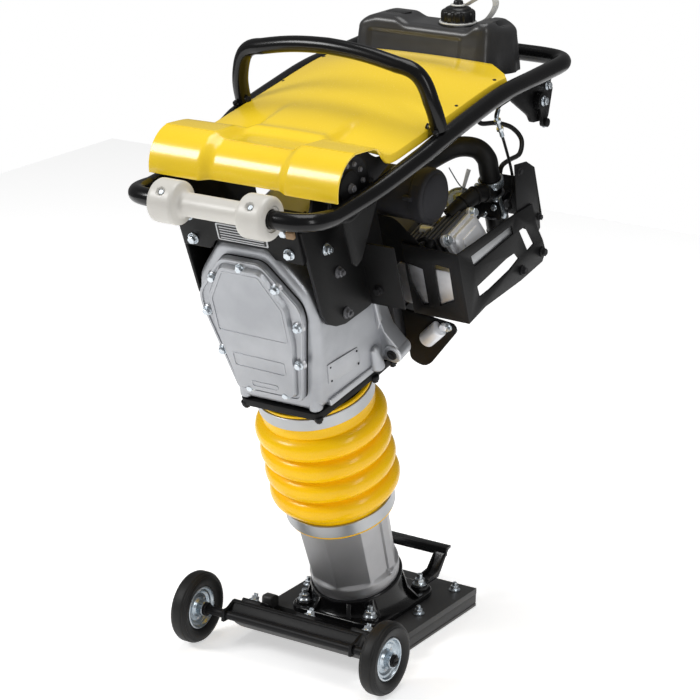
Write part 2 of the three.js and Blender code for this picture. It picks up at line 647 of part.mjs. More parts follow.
function buildEngine() {
  const housing = turnedAlong("y", [
    [60, CASE_REAR + GAP], [72, CASE_REAR + GAP], [72, CRANKCASE.y[0] - GAP], [60, CRANKCASE.y[0] - GAP],
  ], [0, ENGINE_AXIS]);
  const pads = [[-57, 57], [57, 57]].map(([x, z]) =>
    rod("y", [CASE_REAR + GAP, CASE_REAR + 16], [x, ENGINE_AXIS + z], 14, 12));
  const throat = rod("y", [CASE_REAR, CRANKCASE.y[0]], [0, ENGINE_AXIS], 60);
  add(leaned, "clutch_housing", cut(join(housing, ...pads), throat), "aluminium");

  const side = softened(
    mirrored([[86, CRANKCASE.z[0]], [86, 640], [62, CRANKCASE.z[1]]]), 14, 2,
  );
  const crankcase = prism("y", CRANKCASE.y, side);
  const shaftBore = rod("y", [140, 310], [0, ENGINE_AXIS], 12, 20);
  const sump = block([-96, 96], [170, 290], [CRANKCASE.z[0], CRANKCASE.z[0] + 12]);
  add(leaned, "crankcase", cut(join(crankcase, sump), shaftBore), "dull_aluminium");

  const barrelTop = 212;
  const finHalf = 46;
  const barrelY = [CYLINDER_Y - finHalf, CYLINDER_Y + finHalf];
  const core = block(
    [-36, 36], [CYLINDER_Y - 36, CYLINDER_Y + 36], [ENGINE_AXIS + 70, ENGINE_AXIS + barrelTop],
  );
  const fins = [];
  for (let height = 100; height < barrelTop - 4; height += 15) {
    fins.push(block([-finHalf, finHalf], barrelY, [ENGINE_AXIS + height, ENGINE_AXIS + height + 7]));
  }
  const crankRoom = prism("y", [CRANKCASE.y[0] - 1, CRANKCASE.y[1] + 1], softened(
    mirrored([[86.5, CRANKCASE.z[0]], [86.5, 640.3], [62.3, CRANKCASE.z[1] + 0.5]]), 14, 2,
  ));
  const barrel = cut(tiltCylinder(join(core, ...fins)), crankRoom);
  add(leaned, "cylinder", barrel, "dull_aluminium");

  const flangeLow = ENGINE_AXIS + barrelTop + GAP;
  const flangeOutline = softened([[-40, -46], [40, -46], [40, 46], [-40, 46]], 16, 3)
    .map(([x, y]) => [x, y + CYLINDER_Y]);
  const domeOutline = softened([[-33, -38], [33, -38], [33, 38], [-33, 38]], 12, 3)
    .map(([x, y]) => [x, y + CYLINDER_Y]);
  const capOutline = domeOutline.map(([x, y]) => [x * 0.72, CYLINDER_Y + (y - CYLINDER_Y) * 0.82]);
  const ears = [[-36, -45], [36, -45], [36, 45], [-36, 45]].map(([x, y]) =>
    rod("z", [flangeLow, flangeLow + 11], [x, CYLINDER_Y + y], 10, 14));
  const cover = tiltCylinder(join(
    prism("z", [flangeLow, flangeLow + 8], flangeOutline),
    prism("z", [flangeLow, flangeLow + 20], domeOutline),
    prism("z", [flangeLow, flangeLow + 27], capOutline),
    ...ears,
  ));
  add(leaned, "valve_cover", cover, "aluminium");

  const shaft = rod("y", [130, 330], [0, ENGINE_AXIS], 11, 20);
  const clutchHub = rod("y", [127, 142], [0, ENGINE_AXIS], 46, 28);
  const flywheel = rod("y", [304, 322], [0, ENGINE_AXIS], 72, 32);
  add(leaned, "engine_shaft", join(shaft, clutchHub, flywheel), "steel");

  const fanFront = CRANKCASE.y[1] + GAP;
  const fan = turnedAlong("y", [
    [78, fanFront], [88, fanFront], [88, 336], [78, 346], [0, 346], [0, 334], [78, 334],
  ], [0, ENGINE_AXIS], 32);
  const ropeHole = rod("y", [325, 360], [-58, ENGINE_AXIS + 20], 5, 12);
  add(leaned, "starter_housing", cut(fan, ropeHole), "black_plastic");
  const rope = rod("y", [334.5, 353.5], [-58, ENGINE_AXIS + 20], 3, 10);
  add(leaned, "starter_rope", rope, "black_plastic");
  const grip = prism("y", [354, 372], softened([[-84, 612], [-32, 624], [-32, 638], [-84, 626]], 5, 2));
  add(leaned, "starter_grip", grip, "black_plastic");
}

function buildExhaust() {
  const body = prism("y", [155.4, 194], softened([[104, 622], [224, 622], [224, 704], [104, 704]], 18, 3));
  const outlet = rod("x", [200, 230], [175, 656], 8, 14);
  const header = rod("y", [190, 204.6], [175, 685], 13, 14);
  add(leaned, "muffler", join(body, outlet, header), "steel");

  const front = [152, 155];
  const left = 128;
  const right = 237;
  const low = 606;
  const windows = [
    [[133, 709], [162, 702], [161, 628], [149, 626], [133, 672]],
    [[186, 717], [216, 713], [214, 647], [184, 631]],
  ];
  const frontPanel = prism("y", front, [[left, low], [right, low - 2], [right, 744], [left, 748]], {
    holes: windows,
  });
  const sideOutline = [
    [153, 604], [209, 602], [330, 577], [408, 567], [424, 580], [420, 606], [408, 642], [404, 690],
    [348, 704], [153, 744],
  ];
  const slots = [
    [[192, 716], [330, 692], [330, 674], [196, 692]],
    [[195, 653], [297, 644], [325, 638], [335, 620], [301, 618], [231, 624], [197, 630]],
    [[350, 668], [372, 664], [390, 616], [366, 616]],
  ];
  const sidePanel = prism("x", [right - 3, right], sideOutline, { holes: slots });
  add(leaned, "muffler_guard", join(frontPanel, sidePanel), "black_paint");

  const shield = prism("x", [right - 6, right - 3 - GAP], [[178, 726], [344, 698], [346, 666], [182, 688]]);
  add(leaned, "heat_shield", shield, "steel");

  const bracket = prism("y", [158, 163], softened([
    [97, 496], [120, 486], [136, 494], [204, 576], [200, 590], [97, 604],
  ], 8, 2));
  const lip = block([97, 102], [158, 196], [500, 604]);
  add(leaned, "engine_bracket", join(bracket, lip), "black_paint");
}

const HOSE_RADIUS = 19;
const CARBURETTOR = { x: 165, y: 396 };
const FUEL_INLET = { y: 424, z: 712 };

function buildIntake() {
  const filterY = 205;
  const filterZ = 816;
  const body = turnedAlong("x", [
    [0, 40], [40, 40], [44, 46], [44, 152 - GAP], [0, 152 - GAP],
  ], [filterY, filterZ], 28);
  const outlet = rod("y", [filterY + 30, filterY + 62], [92, filterZ - 8], 17, 20);
  add(leaned, "air_filter", join(body, outlet), "black_plastic");
  const cap = turnedAlong("x", [
    [0, 152], [47, 152], [47, 176], [42, 183], [0, 186],
  ], [filterY, filterZ], 32);
  add(leaned, "air_filter_cap", cap, "grey_plastic");

  const startY = filterY + 62 + GAP;
  const hose = smoothRoute([
    [92, startY, filterZ - 8], [92, startY + 16, filterZ - 8],
    [98, 330, 805], [118, 376, 803], [145, 396, 794],
    [CARBURETTOR.x, CARBURETTOR.y, 768], [CARBURETTOR.x, CARBURETTOR.y, 740],
  ], 13);
  const straightEnd = [728, 716].map((z) => new THREE.Vector3(CARBURETTOR.x, CARBURETTOR.y, z));
  hose[0].set(92, startY, filterZ - 8);
  add(leaned, "intake_hose", tubeAlong([...hose, ...straightEnd], HOSE_RADIUS, 14), "rubber");
  const clampInner = HOSE_RADIUS + GAP;
  const clamp = turned([
    [clampInner, 722], [clampInner + 3, 722], [clampInner + 3, 735], [clampInner, 735],
  ], 20);
  add(leaned, "hose_clamp", clamp.translate(CARBURETTOR.x, CARBURETTOR.y, 0), "zinc");

  const { x, y } = CARBURETTOR;
  const throat = rod("z", [664, 716 - GAP], [x, y], 17, 20);
  const bowl = rod("z", [632, 668], [x, y], 21, 20);
  const runner = rod("y", [298, y - 10], [150, 690], 14, 16);
  const valveBlock = block([x - 22, x + 21], [y - 20, y + 22], [664, 700]);
  const fuelBarb = join(
    block([x - 5, x + 5], [y + 18, y + 32], [682, 692]),
    rod("z", [684, FUEL_INLET.z - GAP], [x, FUEL_INLET.y], 3.5, 10),
  );
  add(leaned, "carburettor", join(throat, bowl, runner, valveBlock, fuelBarb), "black_plastic");
  const leverX = x + 21 + GAP;
  const lever = join(
    rod("x", [leverX, leverX + 4], [y - 12, 672], 7, 14),
    prism("x", [leverX + 1, leverX + 4], [[y - 16, 672], [y - 8, 672], [y - 14, 712], [y - 21, 710]]),
  );
  add(leaned, "choke_lever", lever, "zinc");

  const guardRight = 234 - GAP;
  const wallRear = 436;
  const guard = join(
    prism("x", [guardRight - 3, guardRight], [
      [376, 786], [352, 676], [412, 622], [424, 628], [wallRear, 700], [wallRear, 746], [414, 770],
    ]),
    block([142, guardRight], [wallRear - 3, wallRear], [640, 721]),
  );
  add(leaned, "carburettor_guard", guard, "black_paint");
}

// ---------------------------------------------------------------- handle frame
// The right side tube from front to rear: it draws in towards the roller.
const SIDE_TUBE = [
  [179, -421, 873], [180, -367, 880], [186.5, -291, 895], [196, -180, 925], [HANDLE_X, -129, 941],
  [HANDLE_X, -20, 965], [HANDLE_X, 83, 984], [HANDLE_X, 190, 992], [HANDLE_X, 270, 997],
];

// The handle tube's height at a place along its side.
function tubeHeight(y) {
  const after = SIDE_TUBE.findIndex(([, place]) => place > y);
  const [, y0, z0] = SIDE_TUBE[Math.max(after - 1, 0)];
  const [, y1, z1] = SIDE_TUBE[Math.max(after, 1)];
  return z0 + ((z1 - z0) * (y - y0)) / (y1 - y0);
}

function buildHandle() {
  const frontZ = ROLLER.z;
  const seam = 1.5;
  const right = [
    ...bend([ROLLER.half + 1, ROLLER.y, frontZ], [179, ROLLER.y, frontZ], [179, -412, 874]),
    ...SIDE_TUBE.slice(1).map((place) => new THREE.Vector3(...place)),
    ...bend([HANDLE_X, 275, 998], [HANDLE_X, 332, 1002], [132, 332, 1003]),
  ];
  const left = right.map(({ x, y, z }) => new THREE.Vector3(-x, y, z));
  const path = [
    new THREE.Vector3(-seam, ROLLER.y, frontZ),
    ...left,
    ...right.slice().reverse(),
    new THREE.Vector3(seam, ROLLER.y, frontZ),
  ];
  const loop = tubeAlong(path, HANDLE_RADIUS, 12);
  const sleeve = rod("x", [-12, 12], [ROLLER.y, frontZ], HANDLE_RADIUS - 0.6, 12);
  const gussets = [-1, 1].map((sign) => {
    const outline = [
      ...arc([MOUNT_AXIS.y, MOUNT_AXIS.z], 30, 200, 100, 4), [-270, 906], [-250, 880], [-303, 776],
      [-318, 768], [-330, 776],
    ];
    const span = sign > 0 ? [158 + GAP, 164] : [-164, -158 - GAP];
    return prism("x", span, outline);
  });
  const stubs = [-1, 1].flatMap((sign) => [-366, -288].map((y) => {
    const span = sign > 0 ? [160, 184] : [-184, -160];
    return rod("x", span, [y, tubeHeight(y)], 9, 12);
  }));
  add(rammer, "handle_loop", join(loop, sleeve, ...gussets, ...stubs), "gloss_black");

  const hoopRight = [
    [197, -121, 962], [193, -137, 1003], [164, -152, 1062], [92, -157, 1077], [0, -159, 1085],
  ];
  const hoopPath = [
    ...hoopRight.slice(0, -1).map(([x, y, z]) => [-x, y, z]),
    ...hoopRight.slice().reverse(),
  ];
  const hoop = tubeAlong(bentRoute(hoopPath, 40, 2), HOOP_RADIUS, 12);
  const tubeRoom = tubeAlong([-1, 1].map((end) => {
    const y = -121 + 60 * end;
    return new THREE.Vector3(0, y, tubeHeight(y));
  }), HANDLE_RADIUS + 2 * GAP, 18);
  const rooms = [-HANDLE_X, HANDLE_X].map((x) => tubeRoom.clone().translate(x, 0, 0));
  add(rammer, "hoop", cut(hoop, ...rooms), "gloss_black");
}

function buildRoller() {
  const { half } = ROLLER;
  const bore = HANDLE_RADIUS + 0.6;
  const right = [
    [19.5, 52], [23, 59], [34.5, 65], [36.5, 71], [36.5, half - 4], [34, half], [bore, half],
  ];
  const left = right.map(([r, x]) => [r, -x]).reverse();
  const roller = turnedAlong("x", [...left, ...right], [ROLLER.y, ROLLER.z]);
  add(rammer, "roller", roller, "pale_plastic");
}

// The hood's outer line from its front lip, over the roll and back along the panel to its rear edge.
function hoodLine(rollRadius, dip) {
  const centre = [-348, 906];
  const roll = arc(centre, rollRadius, 190, 96, 9);
  return [
    ...roll, [-300, 906 + rollRadius - 4], [-262, 942 + dip], [-236, 943 + dip],
    [-150, 958], [-40, 978], [85, 1000],
    [126, 1003], [178, 1008],
  ];
}

function hoodStrip([x0, x1], rollRadius, dip, steps) {
  const outer = hoodLine(rollRadius, dip);
  const inner = outer.map(([y, z], i) => {
    const [yBefore, zBefore] = outer[Math.max(i - 1, 0)];
    const [yAfter, zAfter] = outer[Math.min(i + 1, outer.length - 1)];
    const length = Math.hypot(yAfter - yBefore, zAfter - zBefore);
    return [
      y + (HOOD_WALL * (zAfter - zBefore)) / length,
      z - (HOOD_WALL * (yAfter - yBefore)) / length,
    ];
  });
  return prism("x", [x0, x1], [...inner, ...outer.slice().reverse()], { steps });
}

function buildHood() {
  const middle = hoodStrip([-HOOD_BULGE_INNER, HOOD_BULGE_INNER], 51, 12, 4);
  const sides = [-1, 1].map((sign) => {
    const span = sign > 0
      ? [HOOD_BULGE_INNER, HOOD_HALF_WIDTH]
      : [-HOOD_HALF_WIDTH, -HOOD_BULGE_INNER];
    return hoodStrip(span, 62, 0, 3);
  });
  const steps = [-1, 1].map((sign) => {
    const ring = [
      ...arc([-348, 906], 61, 190, 60, 10), [-262, 956], [-236, 956], [-236, 941], [-262, 940],
      ...arc([-348, 906], 48.5, 60, 190, 10),
    ];
    const x = sign * HOOD_BULGE_INNER;
    return prism("x", [x - 1.5, x + 1.5], ring);
  });
  const hood = join(middle, ...sides, ...steps);
  const place = hood.attributes.position;
  for (let i = 0; i < place.count; i += 1) {
    const x = place.getX(i);
    const y = place.getY(i);
    const rise = THREE.MathUtils.smoothstep(y, -330, -150) - THREE.MathUtils.smoothstep(y, 40, 178) * 0.8;
    place.setZ(i, place.getZ(i) + HOOD_CROWN * rise * (1 - (x / HOOD_HALF_WIDTH) ** 2));
  }
  const corners = [-1, 1].map((sign) => prism("z", [900, 1100], sign > 0
    ? [[190, 128], [190, 200], [122, 200], [122, 178]]
    : [[-190, 128], [-122, 178], [-122, 200], [-190, 200]]));
  add(rammer, "hood", cut(hood, ...corners), "yellow_paint");
}

const TANK_CAP = { x: 20, y: 236 };

function buildTank() {
  const plan = (inset) => softened([
    [-168 + inset, 184 + inset], [100 - inset, 184 + inset], [130 - inset, 244], [126 - inset, 286 - inset],
    [-181 + inset, 286 - inset],
  ], 16, 3);
  const lower = prism("z", [984, 1022], plan(0));
  const middle = prism("z", [1020, 1046], plan(5));
  const upper = prism("z", [1044, 1058], plan(14));
  const hump = prism(
    "z", [1050, 1068], softened([[-140, 215], [-80, 215], [-60, 276], [-150, 276]], 14, 3),
  );
  const neck = rod("z", [1050, 1063], [TANK_CAP.x, TANK_CAP.y], 27, 24);
  add(rammer, "fuel_tank", join(lower, middle, upper, hump, neck), "black_plastic");
  const cap = turned([
    [0, 1063 + GAP], [31, 1063 + GAP], [31, 1082], [28, 1087], [20, 1091], [9, 1092], [9, 1098], [7, 1100],
    [0, 1100],
  ], 28);
  add(rammer, "fuel_cap", cap.translate(TANK_CAP.x, TANK_CAP.y, 0), "black_plastic");
}

const THROTTLE = { y: 226, z: 946 };

function buildThrottle() {
  const plate = prism("x", [184, 190], softened([
    [134, 982], [134, 962], [200, 922], [208, 908], [268, 904], [290, 984],
  ], 8, 2));
  const tubeRoom = tubeAlong([110, 190, 300].map(
    (y) => new THREE.Vector3(HANDLE_X, y, tubeHeight(y)),
  ), HANDLE_RADIUS + 2 * GAP, 18);
  add(rammer, "throttle_bracket", cut(plate, tubeRoom), "black_paint");
  const x = 190 + GAP;
  const hub = rod("x", [x, x + 12], [THROTTLE.y, THROTTLE.z], 16, 20);
  const arm = prism("x", [x + 3, x + 9], softened([
    [THROTTLE.y - 10, THROTTLE.z], [THROTTLE.y + 10, THROTTLE.z - 4], [THROTTLE.y + 24, THROTTLE.z - 44],
    [THROTTLE.y + 8, THROTTLE.z - 48],
  ], 6, 2));
  const knob = rod("x", [x + 1, x + 14], [THROTTLE.y + 16, THROTTLE.z - 42], 8, 16);
  add(rammer, "throttle_lever", join(hub, arm, knob), "black_plastic");
}

// ---------------------------------------------------------------- hose and cable
const FUEL_HOSE = [
  [100, 204, 983.4], [100, 204, 972], [101, 188, 940], [104, 172, 914], [108, 174, 903], [120, 207, 899],
  [135, 236, 887], [150, 245, 866], [160, 222, 846], [166, 176, 845], [166, 149, 840], [165, 143, 826],
  [165, 143.2, 815],
];
const THROTTLE_CABLE = [
  [187, 133.4, 964], [187, 120, 962], [187, 98, 958], [188, 84, 948], [189, 85, 937], [190, 108, 898],
  [190, 135, 847], [190, 147, 815], [190, 147, 798], [190, 131, 779],
];

function buildLines() {
  add(rammer, "fuel_hose", tubeAlong(smoothRoute(FUEL_HOSE, 24), 4.3, 8), "rubber");
  add(rammer, "throttle_cable", tubeAlong(smoothRoute(THROTTLE_CABLE, 22), 2.6, 8), "black_plastic");
}

buildShoe();
buildFootCasting();
buildShoeHandle();
buildWheelCarriage();
buildLeg();
buildSprings();
buildGearCase();
buildGears();
buildPlates();
buildRubberMounts();
buildEngine();
buildExhaust();
buildIntake();
buildHandle();
buildRoller();
buildHood();
buildTank();
buildThrottle();
buildLines();

export default rammer;
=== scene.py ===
"""The visual model of a jumping jack rammer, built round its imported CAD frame.

Lengths in this file are millimetres and become metres where a mesh is made. The leg, the gear case
and the engine lean forward together, so most pieces are drawn in the leg's own frame and turned.
"""
import json
import math

import bmesh
import bpy
from mathutils import Matrix, Vector


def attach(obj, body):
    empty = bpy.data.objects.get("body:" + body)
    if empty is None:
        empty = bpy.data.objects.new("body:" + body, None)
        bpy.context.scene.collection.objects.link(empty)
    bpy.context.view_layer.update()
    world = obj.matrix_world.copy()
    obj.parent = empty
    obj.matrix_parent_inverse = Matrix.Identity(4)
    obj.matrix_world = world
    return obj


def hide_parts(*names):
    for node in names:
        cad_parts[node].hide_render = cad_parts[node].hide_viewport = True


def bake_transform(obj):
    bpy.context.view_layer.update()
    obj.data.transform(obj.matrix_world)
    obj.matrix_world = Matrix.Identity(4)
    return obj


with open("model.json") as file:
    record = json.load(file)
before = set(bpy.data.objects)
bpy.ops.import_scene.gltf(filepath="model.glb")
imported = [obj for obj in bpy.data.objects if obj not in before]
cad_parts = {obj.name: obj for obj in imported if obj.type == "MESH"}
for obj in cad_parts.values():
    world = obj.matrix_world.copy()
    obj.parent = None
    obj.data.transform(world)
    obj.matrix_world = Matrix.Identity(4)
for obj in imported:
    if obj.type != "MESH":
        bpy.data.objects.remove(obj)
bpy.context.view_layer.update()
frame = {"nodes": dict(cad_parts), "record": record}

LEAN = math.radians(19.27)
LEG = Matrix.Translation((0, -0.0213, 0)) @ Matrix.Rotation(LEAN, 4, "X")
GROUND = Matrix.Identity(4)


# ---------------------------------------------------------------- camera, floor and light
def build_camera():
    data = bpy.data.cameras.new("camera")
    data.sensor_width = 36
    data.lens = 132.4
    data.clip_start, data.clip_end = 0.1, 100
    camera = bpy.data.objects.new("camera", data)
    bpy.context.scene.collection.objects.link(camera)
    bpy.context.scene.camera = camera
    azimuth, elevation, roll = math.radians(32.71), math.radians(18.14), math.radians(0.35)
    target, distance = Vector((-0.0203, -0.0509, 0.5200)), 4.5496
    level = math.cos(elevation)
    back = Vector((math.sin(azimuth) * level, -math.cos(azimuth) * level, math.sin(elevation)))
    camera.location = target + back * distance
    look = (-back).to_track_quat("-Z", "Y").to_matrix().to_4x4()
    camera.rotation_euler = (look @ Matrix.Rotation(roll, 4, "Z")).to_euler()


def build_light(name, location, target, size, power):
    data = bpy.data.lights.new(name, "AREA")
    data.shape = "RECTANGLE"
    data.size, data.size_y = size
    data.energy = power
    light = bpy.data.objects.new(name, data)
    bpy.context.scene.collection.objects.link(light)
    light.location = location
    aim = Vector(target) - Vector(location)
    light.rotation_euler = aim.to_track_quat("-Z", "Y").to_euler()


def build_world():
    """Soft white light from all round, and a pure white backdrop where the camera sees past the floor."""
    world = bpy.data.worlds.new("studio")
    world.use_nodes = True
    nodes, link = world.node_tree.nodes, world.node_tree.links.new
    soft = nodes["Background"]
    soft.inputs["Color"].default_value = (1, 1, 1, 1)
    soft.inputs["Strength"].default_value = 0.20
    backdrop = nodes.new("ShaderNodeBackground")
    backdrop.inputs["Color"].default_value = (1, 1, 1, 1)
    seen = nodes.new("ShaderNodeLightPath")
    choose = nodes.new("ShaderNodeMixShader")
    link(seen.outputs["Is Camera Ray"], choose.inputs["Fac"])
    link(soft.outputs["Background"], choose.inputs[1])
    link(backdrop.outputs["Background"], choose.inputs[2])
    link(choose.outputs["Shader"], nodes["World Output"].inputs["Surface"])
    bpy.context.scene.world = world


def build_floor():
    bm = bmesh.new()
    bmesh.ops.create_grid(bm, x_segments=8, y_segments=8, size=2.7)
    mesh = bpy.data.meshes.new("floor")
    bm.to_mesh(mesh)
    bm.free()
    floor = bpy.data.objects.new("floor", mesh)
    bpy.context.scene.collection.objects.link(floor)
    floor.location.z = -0.0005
    paint = bpy.data.materials.new("floor_paint")
    paint.use_nodes = True
    shader = paint.node_tree.nodes["Principled BSDF"]
    shader.inputs["Base Color"].default_value = (0.93, 0.93, 0.93, 1)
    shader.inputs["Roughness"].default_value = 0.7
    shader.inputs["Specular IOR Level"].default_value = 0.2
    shader.inputs["Emission Color"].default_value = (1, 1, 1, 1)
    shader.inputs["Emission Strength"].default_value = 0.52
    mesh.materials.append(paint)


build_camera()
bpy.context.scene.view_settings.view_transform = "Standard"
bpy.context.scene.view_settings.look = "None"
build_world()
build_light("key", (-2.4, -2.8, 3.0), (0, -0.1, 0.6), (1.3, 1.3), 90)
build_light("side", (3.2, -1.4, 1.9), (0, -0.1, 0.6), (0.8, 2.0), 27)
build_light("top", (0.2, 0.2, 4.0), (0, 0, 0.6), (2.4, 2.0), 66)
build_floor()


# ---------------------------------------------------------------- materials
DUST = (0.18, 0.17, 0.16)
BUMP_DEPTH = 0.0004


def make_material(
    name, light, dark, rough, patch, metal=0.0, grain=400, bump=0.15, bump_size=900,
    coat=0.0, coat_rough=0.1, edge=None, specular=0.5, dust=0.0,
):
    """Two tones mixed by soft patches, roughness varied by a finer grain, a fine bump, and worn edges."""
    material = bpy.data.materials.new(name)
    material.use_nodes = True
    tree = material.node_tree
    shader = tree.nodes["Principled BSDF"]
    add = tree.nodes.new
    join = tree.links.new
    place = add("ShaderNodeTexCoord")

    def noise(scale, detail=3.0, roughness=0.55):
        node = add("ShaderNodeTexNoise")
        node.inputs["Scale"].default_value = scale
        node.inputs["Detail"].default_value = detail
        node.inputs["Roughness"].default_value = roughness
        join(place.outputs["Object"], node.inputs["Vector"])
        return node.outputs["Fac"]

    def spread(value, least, most, low=0.0, high=1.0):
        """A value's span from low to high, carried over to least to most."""
        node = add("ShaderNodeMapRange")
        node.inputs["From Min"].default_value = low
        node.inputs["From Max"].default_value = high
        node.inputs["To Min"].default_value = least
        node.inputs["To Max"].default_value = most
        join(value, node.inputs["Value"])
        return node.outputs["Result"]

    def tinted(colour, tint, share):
        mix = add("ShaderNodeMix")
        mix.data_type = "RGBA"
        join(share, mix.inputs["Factor"])
        join(colour, mix.inputs["A"])
        mix.inputs["B"].default_value = (*tint, 1)
        return mix.outputs["Result"]

    ramp = add("ShaderNodeValToRGB")
    for step, position, tone in zip(ramp.color_ramp.elements, (0.32, 0.68), (dark, light)):
        step.position = position
        step.color = (*tone, 1)
    join(noise(patch), ramp.inputs["Fac"])
    colour = ramp.outputs["Color"]
    if edge is not None:
        worn, amount = edge
        geometry = add("ShaderNodeNewGeometry")
        colour = tinted(colour, worn, spread(geometry.outputs["Pointiness"], 0.0, amount, 0.53, 0.62))
    if dust > 0:
        colour = tinted(colour, DUST, spread(noise(7, 5, 0.7), 0.0, dust, 0.5, 0.8))
    join(colour, shader.inputs["Base Color"])
    join(spread(noise(grain, 2.0), *rough), shader.inputs["Roughness"])

    bumps = add("ShaderNodeBump")
    bumps.inputs["Strength"].default_value = bump
    bumps.inputs["Distance"].default_value = BUMP_DEPTH
    join(noise(bump_size, 2.0), bumps.inputs["Height"])
    join(bumps.outputs["Normal"], shader.inputs["Normal"])

    shader.inputs["Metallic"].default_value = metal
    shader.inputs["Specular IOR Level"].default_value = specular
    shader.inputs["Coat Weight"].default_value = coat
    shader.inputs["Coat Roughness"].default_value = coat_rough
    return material


# Each look: its light and dark tones, the span of its roughness, the patches' scale, and what else it needs.
LOOKS = {
    "yellow_paint": ((0.98, 0.69, 0.030), (0.95, 0.65, 0.024), (0.22, 0.30), 6, {
        "bump": 0.05, "bump_size": 260, "coat": 0.35, "coat_rough": 0.12}),
    "yellow_rubber": ((1.0, 0.60, 0.002), (0.98, 0.55, 0.002), (0.24, 0.32), 9, {
        "bump": 0.05, "bump_size": 320, "coat": 0.22, "coat_rough": 0.10, "specular": 0.20}),
    "gloss_black": ((0.0050, 0.0050, 0.0054), (0.0035, 0.0035, 0.0038), (0.20, 0.30), 14, {
        "bump": 0.10, "bump_size": 240, "coat": 0.16, "coat_rough": 0.08, "edge": ((0.03, 0.03, 0.033), 0.4),
        "specular": 0.22}),
    "black_paint": ((0.0040, 0.0040, 0.0042), (0.0028, 0.0028, 0.0030), (0.36, 0.50), 12, {
        "bump": 0.22, "bump_size": 700, "edge": ((0.035, 0.035, 0.038), 0.5), "dust": 0.004,
        "specular": 0.15}),
    "shoe_paint": ((0.020, 0.020, 0.020), (0.014, 0.014, 0.014), (0.38, 0.52), 12, {
        "bump": 0.22, "bump_size": 700, "edge": ((0.06, 0.06, 0.06), 0.5), "dust": 0.02, "specular": 0.4}),
    "black_plastic": ((0.0110, 0.0110, 0.0115), (0.0085, 0.0085, 0.0090), (0.24, 0.34), 16, {
        "bump": 0.14, "bump_size": 1100, "edge": ((0.03, 0.03, 0.03), 0.4), "specular": 0.32}),
    # The tank's black plastic with a lighter base than black_plastic: painted sheen, the broad soft highlight
    # on the tank's front painted into its colour.
    "tank_plastic_painted_sheen": ((0.040, 0.040, 0.041), (0.030, 0.030, 0.031), (0.26, 0.36), 16, {
        "bump": 0.14, "bump_size": 1100, "edge": ((0.06, 0.06, 0.06), 0.4)}),
    "grey_plastic": ((0.020, 0.020, 0.024), (0.016, 0.016, 0.019), (0.55, 0.68), 16, {
        "bump": 0.3, "bump_size": 1500, "specular": 0.3}),
    "pale_plastic": ((0.66, 0.64, 0.59), (0.60, 0.58, 0.54), (0.32, 0.42), 10, {
        "bump": 0.10, "edge": ((0.72, 0.70, 0.66), 0.4)}),
    "clear_plastic": ((0.74, 0.74, 0.72), (0.66, 0.66, 0.64), (0.25, 0.38), 30, {
        "bump": 0.1, "bump_size": 700}),
    "black_rubber": ((0.0070, 0.0070, 0.0070), (0.0045, 0.0045, 0.0045), (0.45, 0.62), 22, {
        "bump": 0.25, "dust": 0.015, "specular": 0.25}),
    "tyre_rubber": ((0.0095, 0.0095, 0.0095), (0.0065, 0.0065, 0.0065), (0.42, 0.60), 30, {
        "bump": 0.30, "bump_size": 800, "dust": 0.02, "specular": 0.3}),
    "tan_rubber": ((0.34, 0.22, 0.12), (0.26, 0.16, 0.08), (0.5, 0.65), 30, {"bump": 0.3}),
    "laminate": ((0.016, 0.0155, 0.015), (0.010, 0.010, 0.010), (0.42, 0.6), 24, {
        "bump": 0.3, "bump_size": 500, "dust": 0.05}),
    "cast_aluminium": ((0.42, 0.43, 0.45), (0.34, 0.35, 0.37), (0.30, 0.44), 11, {
        "metal": 0.8, "grain": 220, "bump": 0.45, "bump_size": 1300, "edge": ((0.78, 0.79, 0.80), 0.6)}),
    "bright_casting": ((0.88, 0.89, 0.92), (0.74, 0.75, 0.78), (0.34, 0.48), 18, {
        "metal": 0.5, "grain": 240, "bump": 0.5, "bump_size": 1000, "edge": ((0.85, 0.86, 0.88), 0.6)}),
    "engine_casting": ((0.060, 0.060, 0.065), (0.035, 0.035, 0.038), (0.42, 0.60), 16, {
        "metal": 0.4, "grain": 260, "bump": 0.6, "bump_size": 800, "edge": ((0.30, 0.30, 0.32), 0.5),
        "dust": 0.04}),
    "leg_metal": ((0.44, 0.44, 0.45), (0.36, 0.36, 0.37), (0.36, 0.50), 9, {
        "metal": 0.75, "grain": 180, "bump": 0.35}),
    "steel": ((0.52, 0.52, 0.53), (0.36, 0.36, 0.37), (0.25, 0.42), 20, {
        "metal": 1.0, "bump": 0.2, "bump_size": 700, "edge": ((0.8, 0.8, 0.8), 0.5)}),
    "band_steel": ((0.46, 0.47, 0.48), (0.39, 0.40, 0.41), (0.30, 0.40), 12, {
        "metal": 0.9, "bump": 0.1, "bump_size": 600}),
    "worn_steel": ((0.022, 0.021, 0.020), (0.014, 0.014, 0.014), (0.40, 0.60), 20, {
        "metal": 0.2, "bump": 0.35, "bump_size": 420, "edge": ((0.20, 0.19, 0.18), 0.7), "dust": 0.06}),
    "zinc": ((0.56, 0.61, 0.65), (0.34, 0.41, 0.47), (0.22, 0.36), 45, {
        "metal": 0.9, "bump": 0.2, "bump_size": 600, "edge": ((0.86, 0.88, 0.9), 0.5)}),
    "brass": ((0.52, 0.42, 0.14), (0.34, 0.30, 0.12), (0.3, 0.45), 40, {
        "metal": 0.9, "bump": 0.2, "bump_size": 800}),
}
MATERIALS = {name: make_material(name, *look[:4], **look[4]) for name, look in LOOKS.items()}


# ---------------------------------------------------------------- mesh helpers
MM = 0.001
SHARP_EDGE = 28


def new_object(name, bm, space=GROUND):
    """An object from a bmesh in millimetres of a space."""
    mesh = bpy.data.meshes.new(name)
    bm.to_mesh(mesh)
    bm.free()
    mesh.transform(Matrix.Scale(MM, 4))
    mesh.transform(space)
    piece = bpy.data.objects.new(name, mesh)
    bpy.context.scene.collection.objects.link(piece)
    return piece


